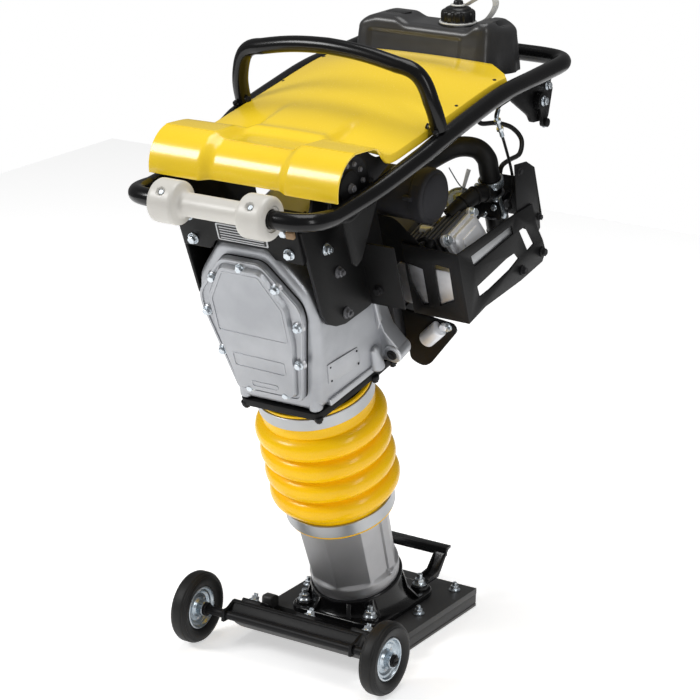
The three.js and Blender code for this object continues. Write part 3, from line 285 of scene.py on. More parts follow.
def round_edges(piece, width, segments=2, sharper=SHARP_EDGE):
    """Bevels the edges sharper than an angle, and makes all the piece's modifiers part of its mesh."""
    modifier = piece.modifiers.new("edges", "BEVEL")
    modifier.width = width * MM
    modifier.segments = segments
    modifier.limit_method = "ANGLE"
    modifier.angle_limit = math.radians(sharper)
    graph = bpy.context.evaluated_depsgraph_get()
    baked = bpy.data.meshes.new_from_object(piece.evaluated_get(graph))
    piece.modifiers.clear()
    piece.data = baked


def dress(piece, body, slot, replaces, angle):
    """Shading, material, the CAD nodes a piece stands for and the body it rides, if any."""
    piece.data.shade_smooth()
    piece.data.set_sharp_from_angle(angle=math.radians(angle))
    piece.data.materials.clear()
    piece.data.materials.append(MATERIALS[slot])
    if replaces:
        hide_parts(*replaces)
    if body is not None:
        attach(piece, body)


def finish_piece(name, bm, body, slot, space=LEG, replaces=(), bevel=0.0, segments=2, angle=32):
    """Turns a bmesh in millimetres into a piece that rides on a body."""
    bmesh.ops.remove_doubles(bm, verts=bm.verts, dist=0.002)
    bmesh.ops.recalc_face_normals(bm, faces=bm.faces)
    piece = new_object(name, bm, space)
    if bevel > 0:
        round_edges(piece, bevel, segments)
    dress(piece, body, slot, replaces, angle)
    return piece


def add_faces(bm, rings, closed_rings=True, loop_path=False):
    """Quads between successive rings of points."""
    made = [[bm.verts.new(p) for p in ring] for ring in rings]
    count = len(made[0])
    last = len(made) if loop_path else len(made) - 1
    for i in range(last):
        a, b = made[i], made[(i + 1) % len(made)]
        for j in range(count if closed_rings else count - 1):
            k = (j + 1) % count
            bm.faces.new((a[j], a[k], b[k], b[j]))
    return made


def loft(bm, rings, loop=False):
    """A solid through rings of points: it ends in flat caps, or closes on itself as a loop."""
    made = add_faces(bm, rings, loop_path=loop)
    if not loop:
        bm.faces.new(made[0])
        bm.faces.new(made[-1])


def circle(count, radius, start=0.0):
    """Points round a circle, from an angle."""
    angles = [2 * math.pi * k / count + start for k in range(count)]
    return [(radius * math.cos(a), radius * math.sin(a)) for a in angles]


def turn(bm, profile, segments=64, centre=(0, 0, 0), axis="z", closed=False):
    """A profile of (radius, height) turned about an axis. Its ends are capped unless it closes on itself."""
    loft(bm, [
        [on_axis(axis, a, b, height, centre) for a, b in circle(segments, radius)]
        for radius, height in profile
    ], loop=closed)


def on_axis(axis, a, b, height, centre):
    x, y, z = centre
    if axis == "z":
        return (x + a, y + b, z + height)
    if axis == "x":
        return (x + height, y + a, z + b)
    return (x + b, y + height, z + a)


def spindle(bm, centre, direction, profile, sides, start=0.0):
    """A solid of (radius, height) rings round a direction from centre."""
    turn_to = Vector(direction).normalized().to_track_quat("Z", "Y").to_matrix()
    loft(bm, [
        [Vector(centre) + turn_to @ Vector((a, b, height)) for a, b in circle(sides, radius, start)]
        for radius, height in profile
    ])


def cylinder(bm, centre, direction, radius, length, segments=24, top=None, bevel=0.0):
    """A round bar from centre along direction; top is the radius at its far end."""
    top = radius if top is None else top
    profile = [(radius, 0), (top, length)]
    if bevel > 0:
        profile = [(radius - bevel, 0), (radius, bevel), (top, length - bevel), (top - bevel, length)]
    spindle(bm, centre, direction, profile, segments, math.pi / segments)


def bolt(bm, centre, direction, size=6.0, washer=True, stud=0.0, spin=0.0):
    """A flanged hexagon head on its washer, with a stud end if it has one. size is the thread's radius."""
    d = Vector(direction).normalized()
    base = Vector(centre)
    height = 0.0
    if washer:
        cylinder(bm, base, d, size * 2.05, size * 0.35, 24, bevel=0.3)
        height += size * 0.35
    cylinder(bm, base + d * height, d, size * 1.75, size * 0.35, 24, top=size * 1.55)
    height += size * 0.3
    hexagon(bm, base + d * height, d, size * 1.5, size * 1.15, spin)
    height += size * 1.15
    if stud > 0:
        cylinder(bm, base + d * height, d, size * 0.8, stud, 16, bevel=0.5)


def hexagon(bm, centre, direction, radius, height, spin=0.0):
    """A six-sided head with a chamfered end."""
    profile = [(radius, 0), (radius, height * 0.85), (radius * 0.86, height)]
    spindle(bm, centre, direction, profile, 6, spin)


def frames_along(points):
    """A right-angled frame at each point of a path, turned as little as possible from one to the next."""
    tangents = []
    for i in range(len(points)):
        ahead = points[min(i + 1, len(points) - 1)] - points[max(i - 1, 0)]
        tangents.append(ahead.normalized())
    normal = tangents[0].orthogonal().normalized()
    frames = []
    for tangent in tangents:
        normal = (normal - tangent * normal.dot(tangent)).normalized()
        frames.append((normal, tangent.cross(normal)))
    return frames


def sweep(bm, points, radius, sides=24, loop=False):
    """A round tube along points. radius is a number, or a function of the share of the way along."""
    points = [Vector(p) for p in points]
    rings = []
    for i, (point, (normal, side)) in enumerate(zip(points, frames_along(points))):
        r = radius(i / (len(points) - 1)) if callable(radius) else radius
        rings.append([point + normal * a + side * b for a, b in circle(sides, r)])
    loft(bm, rings, loop=loop)


def smooth_path(points, steps=8):
    """A centripetal curve through points."""
    p = [Vector(q) for q in points]
    p = [p[0] * 2 - p[1]] + p + [p[-1] * 2 - p[-2]]
    result = []
    for i in range(1, len(p) - 2):
        a, b, c, d = p[i - 1:i + 3]
        for k in range(steps):
            t = k / steps
            result.append(0.5 * (
                2 * b + (c - a) * t + (2 * a - 5 * b + 4 * c - d) * t ** 2 + (3 * b - a - 3 * c + d) * t ** 3
            ))
    result.append(p[-2])
    return result


def extrude_outline(bm, axis, low, high, outline):
    """An outline extruded across an axis: it holds (y, z) across X, (x, z) across Y and (x, y) across Z."""
    def at(h, a, b):
        return {"x": (h, a, b), "y": (a, h, b), "z": (a, b, h)}[axis]
    loft(bm, [[at(h, a, b) for a, b in outline] for h in (low, high)])


def box(bm, low, high):
    (x, y, z), (far_x, far_y, far_z) = low, high
    extrude_outline(bm, "z", z, far_z, [(x, y), (far_x, y), (far_x, far_y), (x, far_y)])


def rounded(outline, radius, steps=4):
    """An outline with its corners rounded."""
    points = [Vector(p) for p in outline]
    result = []
    for i, corner in enumerate(points):
        before, after = points[i - 1], points[(i + 1) % len(points)]
        a, b = (before - corner), (after - corner)
        reach = min(radius, a.length * 0.45, b.length * 0.45)
        start, end = corner + a.normalized() * reach, corner + b.normalized() * reach
        for k in range(steps + 1):
            t = k / steps
            q = start * (1 - t) ** 2 + corner * (2 * t * (1 - t)) + end * t ** 2
            result.append((q.x, q.y))
    return result


def mirrored(points):
    return list(points) + [(-x, z) for x, z in reversed(points)]


def cad_copy(name, node, body, slot, bevel=1.0, segments=2, angle=32):
    """A CAD node's own shape with its flats merged and its edges rounded."""
    source = frame["nodes"][node]
    bm = bmesh.new()
    bm.from_mesh(source.data)
    bm.transform(source.matrix_world)
    bmesh.ops.scale(bm, vec=(1000, 1000, 1000), verts=bm.verts)
    bmesh.ops.remove_doubles(bm, verts=bm.verts, dist=0.01)
    bmesh.ops.dissolve_limit(bm, angle_limit=math.radians(1.2), verts=bm.verts, edges=bm.edges)
    return finish_piece(name, bm, body, slot, GROUND, (node,), bevel, segments, angle)


def smoothstep(value, low, high):
    t = min(1.0, max(0.0, (value - low) / (high - low)))
    return t * t * (3 - 2 * t)


def lathe(
    name, profile, body, slot, centre=(0, 0, 0), axis="z", space=LEG, replaces=(), segments=96, angle=40,
):
    """A closed profile of (radius, height) turned about an axis, as one piece."""
    bm = bmesh.new()
    turn(bm, profile, segments, centre, axis, closed=True)
    return finish_piece(name, bm, body, slot, space, replaces, angle=angle)


def add_web(bm, outline, across):
    """A flat web: an outline of points thickened by a vector to both sides."""
    loft(bm, [[p - across for p in outline], [p + across for p in outline]])


# ---------------------------------------------------------------- shoe and foot
def build_shoe():
    cad_copy("sole", "sole_plate", "foot", "worn_steel", bevel=1.2)
    board = cad_copy("board", "shoe_board", "foot", "laminate", bevel=0.8)
    board.data.transform(Matrix.Diagonal((1.0175, 1, 1, 1)))
    cad_copy("shoe_top", "shoe_plate", "foot", "shoe_paint", bevel=2.0, segments=3)

    bm = bmesh.new()
    for x, y, z in ((-125, -24, 36), (-125, 104, 36), (113, -24, 36), (113, 104, 36)):
        bolt(bm, (x, y, z), (0, 0, 1), 5.2, stud=6, spin=x * 0.1)
    for x in (-120, 0, 120):
        bolt(bm, (x, -208, 72), (0, 0.48, 0.88), 5.0, stud=5, spin=x * 0.05)
    finish_piece("shoe_nuts", bm, "foot", "zinc", space=GROUND)

    # a pad under each bolt of the wheel bracket, square to its sloping plate
    seat, along, out = Vector((0, -211.6, 65.9)), Vector((0, -0.863, 0.505)), Vector((0, 0.505, 0.863))
    bm = bmesh.new()
    for x in (-116, 0, 116):
        centre = seat + Vector((x, 0, 0))
        corners = [centre + along * 16 - out, centre - along * 16 - out]
        corners += [centre - along * 14 + out * 7.1, centre + along * 14 + out * 7.1]
        add_web(bm, corners, Vector((21, 0, 0)))
    finish_piece("bracket_pads", bm, "foot", "black_paint", space=GROUND, bevel=1.5, segments=2)

    # the hooks of the top plate over the front corners of the board
    bm = bmesh.new()
    for x in (-131.5, 131.5):
        hook = [(-128, 34), (-128, 52), (-136, 57), (-150, 58), (-154, 54), (-154, 40), (-146, 34)]
        add_web(bm, [Vector((x, y, z)) for y, z in hook], Vector((10.5, 0, 0)))
    finish_piece("shoe_hooks", bm, "foot", "shoe_paint", space=GROUND, bevel=2, segments=2)


def leg_point(x, y, z):
    """A point of the leg's frame, in millimetres of the ground's frame."""
    return (LEG @ (Vector((x, y, z)) * 0.001)) * 1000


def foot_ring(share, angle):
    """The foot's collar, from an oval on the base plate to a leaning round seat."""
    base = Vector((99 * math.cos(angle), -38 + 104 * math.sin(angle), 49))
    seat = leg_point(84.5 * math.cos(angle), 84.5 * math.sin(angle), 107)
    inward = 1 - (1 - share) ** 2.2
    point = base.lerp(seat, inward)
    point.z = base.z + (seat.z - base.z) * share ** 1.35
    return point


FOOT_BOLTS = [(x, y, height) for x in (-70, 70) for y, height in ((-120, 55), (50, 57))]


def build_foot():
    bm = bmesh.new()
    extrude_outline(bm, "z", 36.2, 49.6, rounded([(-94, -146), (94, -146), (94, 78), (-94, 78)], 40, 8))
    finish_piece("foot_base", bm, "foot", "gloss_black", GROUND, ("foot_casting",), bevel=3, segments=3)

    bm = bmesh.new()
    segments, steps = 96, 10
    rings = [
        [foot_ring(i / steps, 2 * math.pi * j / segments) for j in range(segments)] for i in range(steps + 1)
    ]
    for radius, height in ((83, 109), (79.5, 109), (78.2, 107.6), (78.2, 98), (60, 98)):
        rings.append([leg_point(a, b, height) for a, b in circle(segments, radius)])
    loft(bm, rings)
    finish_piece("foot_collar", bm, "foot", "gloss_black", space=GROUND, angle=40)

    bm = bmesh.new()
    for angle in (-142, -112, -68, -38, 28, 152):
        a = math.radians(angle)
        across = Vector((-math.sin(a), math.cos(a), 0)) * 4
        foot = foot_ring(0.02, a)
        outer = Vector((foot.x * 1.06, -34 + (foot.y + 34) * 1.08, 50))
        waist = foot_ring(0.55, a) + Vector((math.cos(a), math.sin(a), 0)) * 6
        top = foot_ring(0.96, a)
        inner = Vector((foot.x * 0.8, -34 + (foot.y + 34) * 0.8, 50))
        add_web(bm, [outer, waist, top, inner], across)
    for x, y, height in FOOT_BOLTS:
        cylinder(bm, (x, y, 46), (0, 0, 1), 17, height - 46, 36, top=15.6, bevel=1.2)
    finish_piece("foot_webs", bm, "foot", "gloss_black", space=GROUND, bevel=1.6)

    bm = bmesh.new()
    for x, y, height in FOOT_BOLTS:
        bolt(bm, (x, y, height), (0, 0, 1), 6.4, stud=9, spin=x * 0.02 + y * 0.01)
    finish_piece("foot_nuts", bm, "foot", "zinc", space=GROUND)

    cad_copy("lift_handle", "shoe_handle", "foot", "gloss_black", bevel=1.2)
    bm = bmesh.new()
    box(bm, (-83, 121.6, 89), (83, 126.4, 105.6))
    rib = [(60, 57), (97, 57), (132, 101), (126, 101), (95, 70), (60, 66)]
    for x in (-80.6, -59.4, 59.4, 80.6):
        add_web(bm, [Vector((x, y, z)) for y, z in rib], Vector((2, 0, 0)))
    finish_piece("lift_handle_lips", bm, "foot", "gloss_black", space=GROUND, bevel=1.0)


def build_wheel_bracket():
    cad_copy("bracket", "wheel_bracket", "foot", "black_paint", bevel=1.0)
    bm = bmesh.new()
    for share in (0.1, 0.9):
        y, z = -252.5 - 15.5 * share, 85.6 - 15.5 * share
        cylinder(bm, (-134, y, z), (1, 0, 0), 1.5, 268, 16, bevel=0.6)
    finish_piece("bracket_ribs", bm, "foot", "black_paint", space=GROUND)


WHEEL_X, WHEEL_Y, WHEEL_Z = 197.4, -275, 66.5


def build_wheels():
    y, z = WHEEL_Y, WHEEL_Z
    half = [
        (65, 0), (65, 6.2), (64.6, 8.2), (63.5, 9.6), (62.9, 9.9), (62.9, 11.0), (62.0, 12.8),
        (60.2, 14.2), (58.4, 15.0), (57.7, 14.6), (57.1, 15.5), (54, 16.0), (50, 15.2), (45.5, 13.6),
        (42.4, 12.0), (40, 9.6), (39.2, 9.0), (39.2, 0),
    ]
    tyre = half[:-1] + [(39.2, -9.0)] + [(r, -x) for r, x in reversed(half[1:-2])]
    face = [
        (38.5, 0), (38.5, 10.2), (37.2, 11.0), (35.4, 10.4), (34.2, 7.6), (32.8, 5.8), (29.5, 5.2),
        (27.6, 2.8), (25.5, 1.6), (18.0, 1.6), (16.2, 2.6), (14.6, 5.0), (13.4, 6.2), (13.2, 17.0),
        (12.6, 17.8), (9.2, 17.8), (8.4, 17.0), (8.4, 0),
    ]
    disc = face[:-1] + [(r, -x) for r, x in reversed(face[1:-1])]
    for side, x in (("left", -WHEEL_X), ("right", WHEEL_X)):
        body = f"wheel_{side}"
        lathe(f"{side}_tread", tyre, body, "tyre_rubber", (x, y, z), "x", GROUND, (f"{side}_tyre",), 112, 50)
        lathe(f"{side}_rim", disc, body, "zinc", (x, y, z), "x", GROUND, (f"{side}_wheel_disc",), 96, 28)
        bm = bmesh.new()
        for b, c in circle(3, 21.6, 0.5):
            for sign in (-1, 1):
                cylinder(bm, (x + sign * 1.2, y + b, z + c), (sign, 0, 0), 2.6, 1.4, 14, bevel=0.5)
        finish_piece(f"{side}_rim_rivets", bm, body, "steel", space=GROUND)
    bm = bmesh.new()
    cylinder(bm, (-221.6, y, z), (1, 0, 0), 8.0, 443.2, 32, bevel=1.0)
    for sign in (-1, 1):
        cylinder(bm, (sign * 216.2, y, z), (sign, 0, 0), 11.5, 2.2, 28, bevel=0.5)
        cylinder(bm, (sign * 173.5, y, z), (sign, 0, 0), 12.5, 5.0, 28, bevel=0.8)
        hexagon(bm, (sign * 218.2, y, z), (sign, 0, 0), 8.8, 3.4, 0.3)
    finish_piece("wheel_axle", bm, "foot", "black_paint", space=GROUND, replaces=("axle",))


# ---------------------------------------------------------------- leg, bands and bellows
LEG_FOOT_RADIUS, LEG_TOP_RADIUS = 80.5, 87.0
SLEEVE_RADIUS = 89.6


def leg_radius(height, angle):
    """Soft flats up the leg that die out in the round ring at its foot."""
    size = LEG_FOOT_RADIUS + (LEG_TOP_RADIUS - LEG_FOOT_RADIUS) * min(1, max(0, (height - 112) / 150))
    size -= 2.6 * (1 - smoothstep(height, 100, 121))
    turned = (angle - math.radians(-80)) % (math.pi / 4) - math.pi / 8
    flat = math.cos(math.pi / 8) / math.cos(turned)
    share = smoothstep(height, 131, 140)
    return size * (1 + share * 0.9 * (flat - 1)) - 1.2 * share


def build_leg():
    bm = bmesh.new()
    segments = 192
    heights = [100.6, 101.4, 104, 112, 116] + [119 + 1.8 * k for k in range(16)] + [
        150, 165, 180, 200, 220, 240, 252, 260, 263, 266, 268.5,
    ]
    rings = []
    for height in heights:
        ring = []
        for j in range(segments):
            a = 2 * math.pi * j / segments
            r = leg_radius(height, a) if height < 264 else SLEEVE_RADIUS
            if height < 101:
                r -= 1.2
            groove = abs((a - math.radians(-4) + math.pi) % (2 * math.pi) - math.pi)
            if groove < 0.045 and 130 < height < 264:
                r -= 3.0
            ring.append((r * math.cos(a), r * math.sin(a), height))
        rings.append(ring)
    for radius, height in ((SLEEVE_RADIUS, 293.8), (68.4, 293.8), (68.4, 140), (58.2, 100.6)):
        rings.append([(a, b, height) for a, b in circle(segments, radius)])
    loft(bm, rings, loop=True)
    finish_piece("leg", bm, "foot", "leg_metal", replaces=("leg_tube",), angle=24)


def build_bands():
    for name, body, low, high, radius in (
        ("lower_band", "foot", 269, 294, 98.8), ("upper_band", "machine", 507, 531, 102.8),
    ):
        half = [(radius - 3.8, low), (radius - 0.9, low), (radius, low + 0.9)]
        strap = half + [(r, low + high - z) for r, z in reversed(half)]
        lathe(f"{name}_strap", strap, body, "band_steel", replaces=(name,), segments=128)
        bm = bmesh.new()
        middle = (low + high) / 2
        for sign in (-1, 1):
            box(bm, (sign * 9 - 3, radius - 4, low + 2), (sign * 9 + 3, radius + 13, high - 2))
        cylinder(bm, (-20, radius + 7, middle), (1, 0, 0), 3.4, 38, 20, bevel=0.5)
        hexagon(bm, (-26, radius + 7, middle), (1, 0, 0), 6.8, 6)
        hexagon(bm, (14, radius + 7, middle), (1, 0, 0), 6.8, 5, 0.4)
        finish_piece(f"{name}_clamp", bm, body, "zinc", bevel=0.7)


def build_bellows():
    outer = [
        (90.6, 264.2), (94.5, 264.2), (96.6, 265.0), (97.2, 266.6), (96.6, 268.2), (94.5, 268.8), (94.5, 296),
    ]
    outer += [(96.2, 300), (99.0, 303.0)]
    valley, peak, pitch, first = 95.5, 116.6, 44.7, 328.3
    for k in range(4):
        centre = first + pitch * k
        for i in range(17):
            u = -0.985 + 1.97 * i / 16
            swell = (1 - u * u) ** 0.5
            outer.append((valley + (peak - valley) * swell, centre + u * pitch / 2))
    outer += [
        (100.6, 488), (99.4, 492), (98.6, 498), (98.6, 531.6), (100.4, 532.0), (101.2, 533.6), (101.2, 536),
    ]
    outer += [(100.2, 537.4), (98.6, 537.6)]
    inner = [(94.7, 537.6), (94.7, 498), (97.0, 486)]
    for k in (3, 2, 1, 0):
        centre = first + pitch * k
        for u in (0.9, 0.45, 0, -0.45, -0.9):
            inner.append((valley - 4 + (peak - valley) * (1 - u * u) ** 0.5, centre + u * pitch / 2))
    inner += [(92, 300), (90.6, 296)]
    bm = bmesh.new()
    turn(bm, outer + inner, 128, closed=True)
    piece = finish_piece("bellows_rubber", bm, None, "yellow_rubber", replaces=("bellows",), angle=70)
    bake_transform(piece)


build_shoe()
build_foot()
build_wheel_bracket()
build_wheels()
build_leg()
build_bands()
build_bellows()


# ---------------------------------------------------------------- gear case
def bolt_ring(name, places, body, space=LEG, size=5.0, slot="zinc", **extra):
    """Bolts given as (centre, direction), joined in one piece."""
    bm = bmesh.new()
    for k, (centre, direction) in enumerate(places):
        bolt(bm, centre, direction, size, spin=0.35 * k, **extra)
    return finish_piece(name, bm, body, slot, space=space)


CASE_LOW, CASE_FRONT = 558.6, -103
CASE_FLARE, FLARE_DEPTH, FLARE_TOP, FLARE_DROP = 30, 150, 700, 130
CASE_SIDE = [(CASE_LOW, 77), (610, 91), (690, 110), (762, 117), (808, 106), (884, 50)]


def case_flare(y, z):
    """How far the case's sides stand out towards its rear and bottom."""
    along = min(1, max(0, (y - CASE_FRONT) / FLARE_DEPTH))
    down = min(1, max(0, (FLARE_TOP - z) / FLARE_DROP))
    return CASE_FLARE * along * down


def case_side(y, z):
    """How far the case's right side stands from its middle."""
    width = CASE_SIDE[0][1]
    for (low, near), (high, far) in zip(CASE_SIDE, CASE_SIDE[1:]):
        if low <= z <= high:
            width = near + (far - near) * (z - low) / (high - low)
    return width + case_flare(y, z)


def case_ring(y, inset):
    """The case's outline at a depth: rounded, drawn in by inset, and flared."""
    flat = rounded(mirrored([(x, z) for z, x in CASE_SIDE]), 16, 6)
    ring = []
    for i, point in enumerate(flat):
        before, after = Vector(flat[i - 1]), Vector(flat[(i + 1) % len(flat)])
        edge = (after - before).normalized()
        inward = Vector((-edge.y, edge.x)) * inset
        x, z = point[0] + inward.x, max(CASE_LOW, point[1] + inward.y)
        ring.append((x + math.copysign(case_flare(y, z), x), y, z))
    return ring


def build_gear_case():
    bm = bmesh.new()
    fillet, steps = 15, 8
    rings = []
    for k in range(steps, -1, -1):
        a = math.radians(90 * k / steps)
        rings.append(case_ring(CASE_FRONT + fillet * (1 - math.sin(a)), fillet * (1 - math.cos(a))))
    rings += [case_ring(y, 0) for y in range(-80, 100, 12)] + [case_ring(99, 0), case_ring(100, 1)]
    loft(bm, rings)
    finish_piece("case_shell", bm, "machine", "cast_aluminium", replaces=("gear_case",), angle=34)

    bm = bmesh.new()
    for sign in (-1, 1):
        for x, y, reach, top in ((70, -93, 12.5, 603), (110, 42, 14, 607)):
            cylinder(bm, (sign * x, y, CASE_LOW), (0, 0, 1), reach, top - CASE_LOW, 40,
                     top=reach * 0.72, bevel=4.5)
        low = Vector((sign * (case_side(-76, 566) - 2), -76, CASE_LOW))
        high = Vector((sign * (case_side(56, 566) - 2), 56, CASE_LOW))
        across = Vector((sign * 7, 0, 0))
        add_web(bm, [low, low + Vector((0, 0, 13)), high + Vector((0, 0, 13)), high], across)
        cylinder(bm, (sign * 131, 61, 579), (0, 1, 0), 17.5, 38, 56, bevel=2.6)
        arm = [(96, 561.6), (131, 561.6), (148, 581), (143, 592), (122, 622), (113, 668), (96, 690)]
        add_web(bm, [Vector((sign * x, 81, z)) for x, z in arm], Vector((0, 16, 0)))
        shield = [(100, 600), (118, 640), (116, 700), (112, 742), (100, 742)]
        add_web(bm, [Vector((sign * x, 68, z)) for x, z in shield], Vector((0, 6, 0)))
    finish_piece("case_bosses", bm, "machine", "cast_aluminium", bevel=2.0, segments=3)

    bm = bmesh.new()
    for sign in (-1, 1):
        cylinder(bm, (sign * 131, 58.6, 579), (0, 1, 0), 9.4, 4, 36, bevel=1.2)
        cylinder(bm, (sign * 131, 57.4, 579), (0, 1, 0), 5.4, 3, 6)
    finish_piece("case_ear_bushes", bm, "machine", "black_rubber")

    pad = [(-80.4, 649.5), (3, 631.2), (3.9, 592.8), (-76.1, 605.1)]
    bm = bmesh.new()
    extrude_outline(bm, "x", 0, 2.6, rounded(pad, 3))
    for vertex in bm.verts:
        vertex.co.x += case_side(vertex.co.y, vertex.co.z) - 1.2
    finish_piece("case_pad", bm, "machine", "cast_aluminium", bevel=0.6)
    bm = bmesh.new()
    for y, z in ((-73, 640), (-2, 626), (-1, 599), (-70, 609)):
        cylinder(bm, (case_side(y, z) + 0.8, y, z), (1, 0.12, 0.1), 2.2, 1.6, 14, bevel=0.5)
    finish_piece("case_pad_rivets", bm, "machine", "black_paint")


def build_case_cover():
    back = -103.8
    rim_face, field_face = -116.4, -126.0
    edge = mirrored([(64, 588), (101.5, 760), (99, 787), (40, 861)])
    bosses = [(0, 849), (62.4, 819), (90, 748), (76.2, 671), (36, 602)]
    bosses += [(-x, z) for x, z in bosses if x > 0]
    bm = bmesh.new()
    extrude_outline(bm, "y", rim_face, back, rounded(edge, 14, 5))
    finish_piece("cover_rim", bm, "machine", "cast_aluminium", LEG, ("case_cover",), bevel=2.2, segments=3)
    bm = bmesh.new()
    outer, inner = (rounded([(x * k, 724 + (z - 724) * k) for x, z in edge], 14, 5) for k in (0.995, 0.95))
    low, high = rim_face + 2, rim_face - 1.6
    steps = ((outer, low), (outer, high), (inner, high), (inner, low))
    loft(bm, [[(x, y, z) for x, z in flat] for flat, y in steps], loop=True)
    finish_piece("cover_lip", bm, "machine", "cast_aluminium", bevel=0.7)

    field = mirrored([(55, 604), (74, 713), (75, 784), (38, 847)])
    bm = bmesh.new()
    rings = []
    for y, grow in ((rim_face + 1, 4.4), (rim_face - 1, 4.0), (field_face + 1.6, 0.9),
                    (field_face + 0.4, 0.2),
                    (field_face, -1.0)):
        scale = 1 + grow / 80
        rings.append([(x * scale, y, 726 + (z - 726) * (1 + grow / 120)) for x, z in rounded(field, 9, 6)])
    loft(bm, rings)
    finish_piece("cover_field", bm, "machine", "cast_aluminium", angle=26)
    bm = bmesh.new()
    for outline, width in (
        ([(-70, 718), (69, 716), (70, 782), (36, 841), (-36, 841), (-70, 782)], 2.2),
        ([(-54, 676), (51, 673), (49.5, 647), (-53.5, 650)], 2.4),
        ([(-27, 622), (27, 622), (27, 612), (-27, 612)], 2.2),
    ):
        outer = rounded(outline, 4, 4)
        middle = Vector((sum(x for x, z in outer), sum(z for x, z in outer))) / len(outer)
        inner = [Vector(p) + (middle - Vector(p)).normalized() * width for p in outer]
        low, high = field_face + 0.6, field_face - 0.9
        steps = ((outer, low), (outer, high), (inner, high), (inner, low))
        loft(bm, [[(x, y, z) for x, z in flat] for flat, y in steps], loop=True)
    finish_piece("cover_borders", bm, "machine", "cast_aluminium", bevel=0.45)
    bm = bmesh.new()
    for x, z in bosses:
        cylinder(bm, (x, rim_face + 4, z), (0, -1, 0), 11.5, 7.0, 36, top=9.8, bevel=1.2)
    finish_piece("cover_bosses", bm, "machine", "cast_aluminium")
    bolt_ring("cover_bolts", [((x, rim_face - 3.0, z), (0, -1, 0)) for x, z in bosses], "machine", size=4.2)
    bm = bmesh.new()
    extrude_outline(bm, "y", back - 0.4, back + 0.9, rounded([(x * 1.014, z + 0.6) for x, z in edge], 14, 5))
    finish_piece("cover_gasket", bm, "machine", "black_rubber")


def build_case_flange():
    """The black flange at the top of the guide cylinder, with the bolt bosses that hang below it."""
    cad_copy("guide", "guide_cylinder", "machine", "black_paint", bevel=1.6, segments=3)
    bm = bmesh.new()
    for sign in (-1, 1):
        for x, y in ((74, -98), (106, 34), (112, 84)):
            cylinder(bm, (sign * x, y, 550), (0, 0, -1), 8.5, 10, 28, top=7.6, bevel=1.5)
            hexagon(bm, (sign * x, y, 541), (0, 0, -1), 5.6, 4.6)
    finish_piece("flange_bosses", bm, "machine", "black_paint")


def build_plates():
    for side, sign in (("left", -1), ("right", 1)):
        cad_copy(f"{side}_side", f"side_plate_{side}", "machine", "black_paint", bevel=1.3, segments=3)
        for kind, slot, places in (
            ("bolts", "zinc", [(-47, 863)]), ("screws", "engine_casting", [(-28, 806), (-29, 726)]),
        ):
            spots = [((sign * 124.6, y, z), (sign, 0, 0)) for y, z in places]
            bolt_ring(f"{side}_side_{kind}", spots, "machine", size=5.0, slot=slot, stud=4)
    bolt_ring("side_wing_bolt", [((144, 43.8, 727), (0, -1, 0))], "machine", size=4.6, slot="black_paint")
    cad_copy("front_plate", "cross_plate", "machine", "black_paint", bevel=1.3, segments=3)
    bolt_ring("front_plate_bolts", [
        ((x, -104.2, z), (0, -1, 0)) for x, z in ((-95, 881), (95, 884), (-95, 927), (95, 927))
    ], "machine", size=5.0)

    bm = bmesh.new()
    extrude_outline(bm, "y", -105.4, -104.1, rounded([(-42, 889), (57, 889), (57, 921), (-42, 921)], 3))
    finish_piece("data_plate", bm, "machine", "band_steel", bevel=0.3)
    bm = bmesh.new()
    label = rounded([(-39, 891.5), (54, 891.5), (54, 918.5), (-39, 918.5)], 2)
    extrude_outline(bm, "y", -105.9, -105.2, label)
    finish_piece("data_plate_field", bm, "machine", "black_plastic")
    bm = bmesh.new()
    for k in range(5):
        box(bm, (-35, -106.3, 894 + 5 * k), (50, -105.8, 895.6 + 5 * k))
    finish_piece("data_plate_lines", bm, "machine", "band_steel")

    bm = bmesh.new()
    for x, z in ((70, 938), (101, 925)):
        box(bm, (x, -112, z - 6), (x + 15, -104.2, z + 6))
    finish_piece("buffers", bm, "machine", "tan_rubber", bevel=1.6)


MOUNT_Y, MOUNT_Z = -348, 906


def build_mounts():
    y, z = MOUNT_Y, MOUNT_Z
    waist = [
        (9, 125.2), (26, 125.2), (29.6, 128.0), (29.9, 130.6), (27.0, 134.0), (24.6, 138.5), (24.2, 141.4),
        (24.6, 144.4), (27.0, 149.0), (29.9, 152.4), (29.6, 155.0), (26, 157.6), (9, 157.6),
    ]
    dish = [
        (0.5, 164.1), (55, 164.1), (56.6, 165.2), (57, 167), (56.6, 168.6), (55, 169.4), (50, 169.4),
        (47, 167.4), (30, 167.0), (28, 169.6), (18, 170.2), (0.5, 170.2),
    ]
    for side, sign in (("left", -1), ("right", 1)):
        lathe(f"{side}_mount", [(r, sign * x) for r, x in waist], "machine", "black_rubber", (0, y, z), "x",
              GROUND, (f"rubber_mount_{side}",), 72, 50)
        lathe(f"{side}_mount_dish", [(r, sign * x) for r, x in dish], "handle", "black_paint",
              (0, y, z + 0.5), "x", GROUND, angle=35)
        bm = bmesh.new()
        bolt(bm, (sign * 170.1, y, z), (sign, 0, 0), 4.2, stud=2)
        for k in range(5):
            a = math.radians(8 + 32 * k)
            spot = (sign * 167.2, y + 39 * math.cos(a), z + 39 * math.sin(a))
            bolt(bm, spot, (sign, 0, 0), 2.7, washer=False)
        finish_piece(f"{side}_mount_bolts", bm, "handle", "engine_casting", space=GROUND)


# ---------------------------------------------------------------- handle, hoop, roller and hood
ROLLER_Y, ROLLER_Z, ROLLER_HALF = -482, 876, 111.5


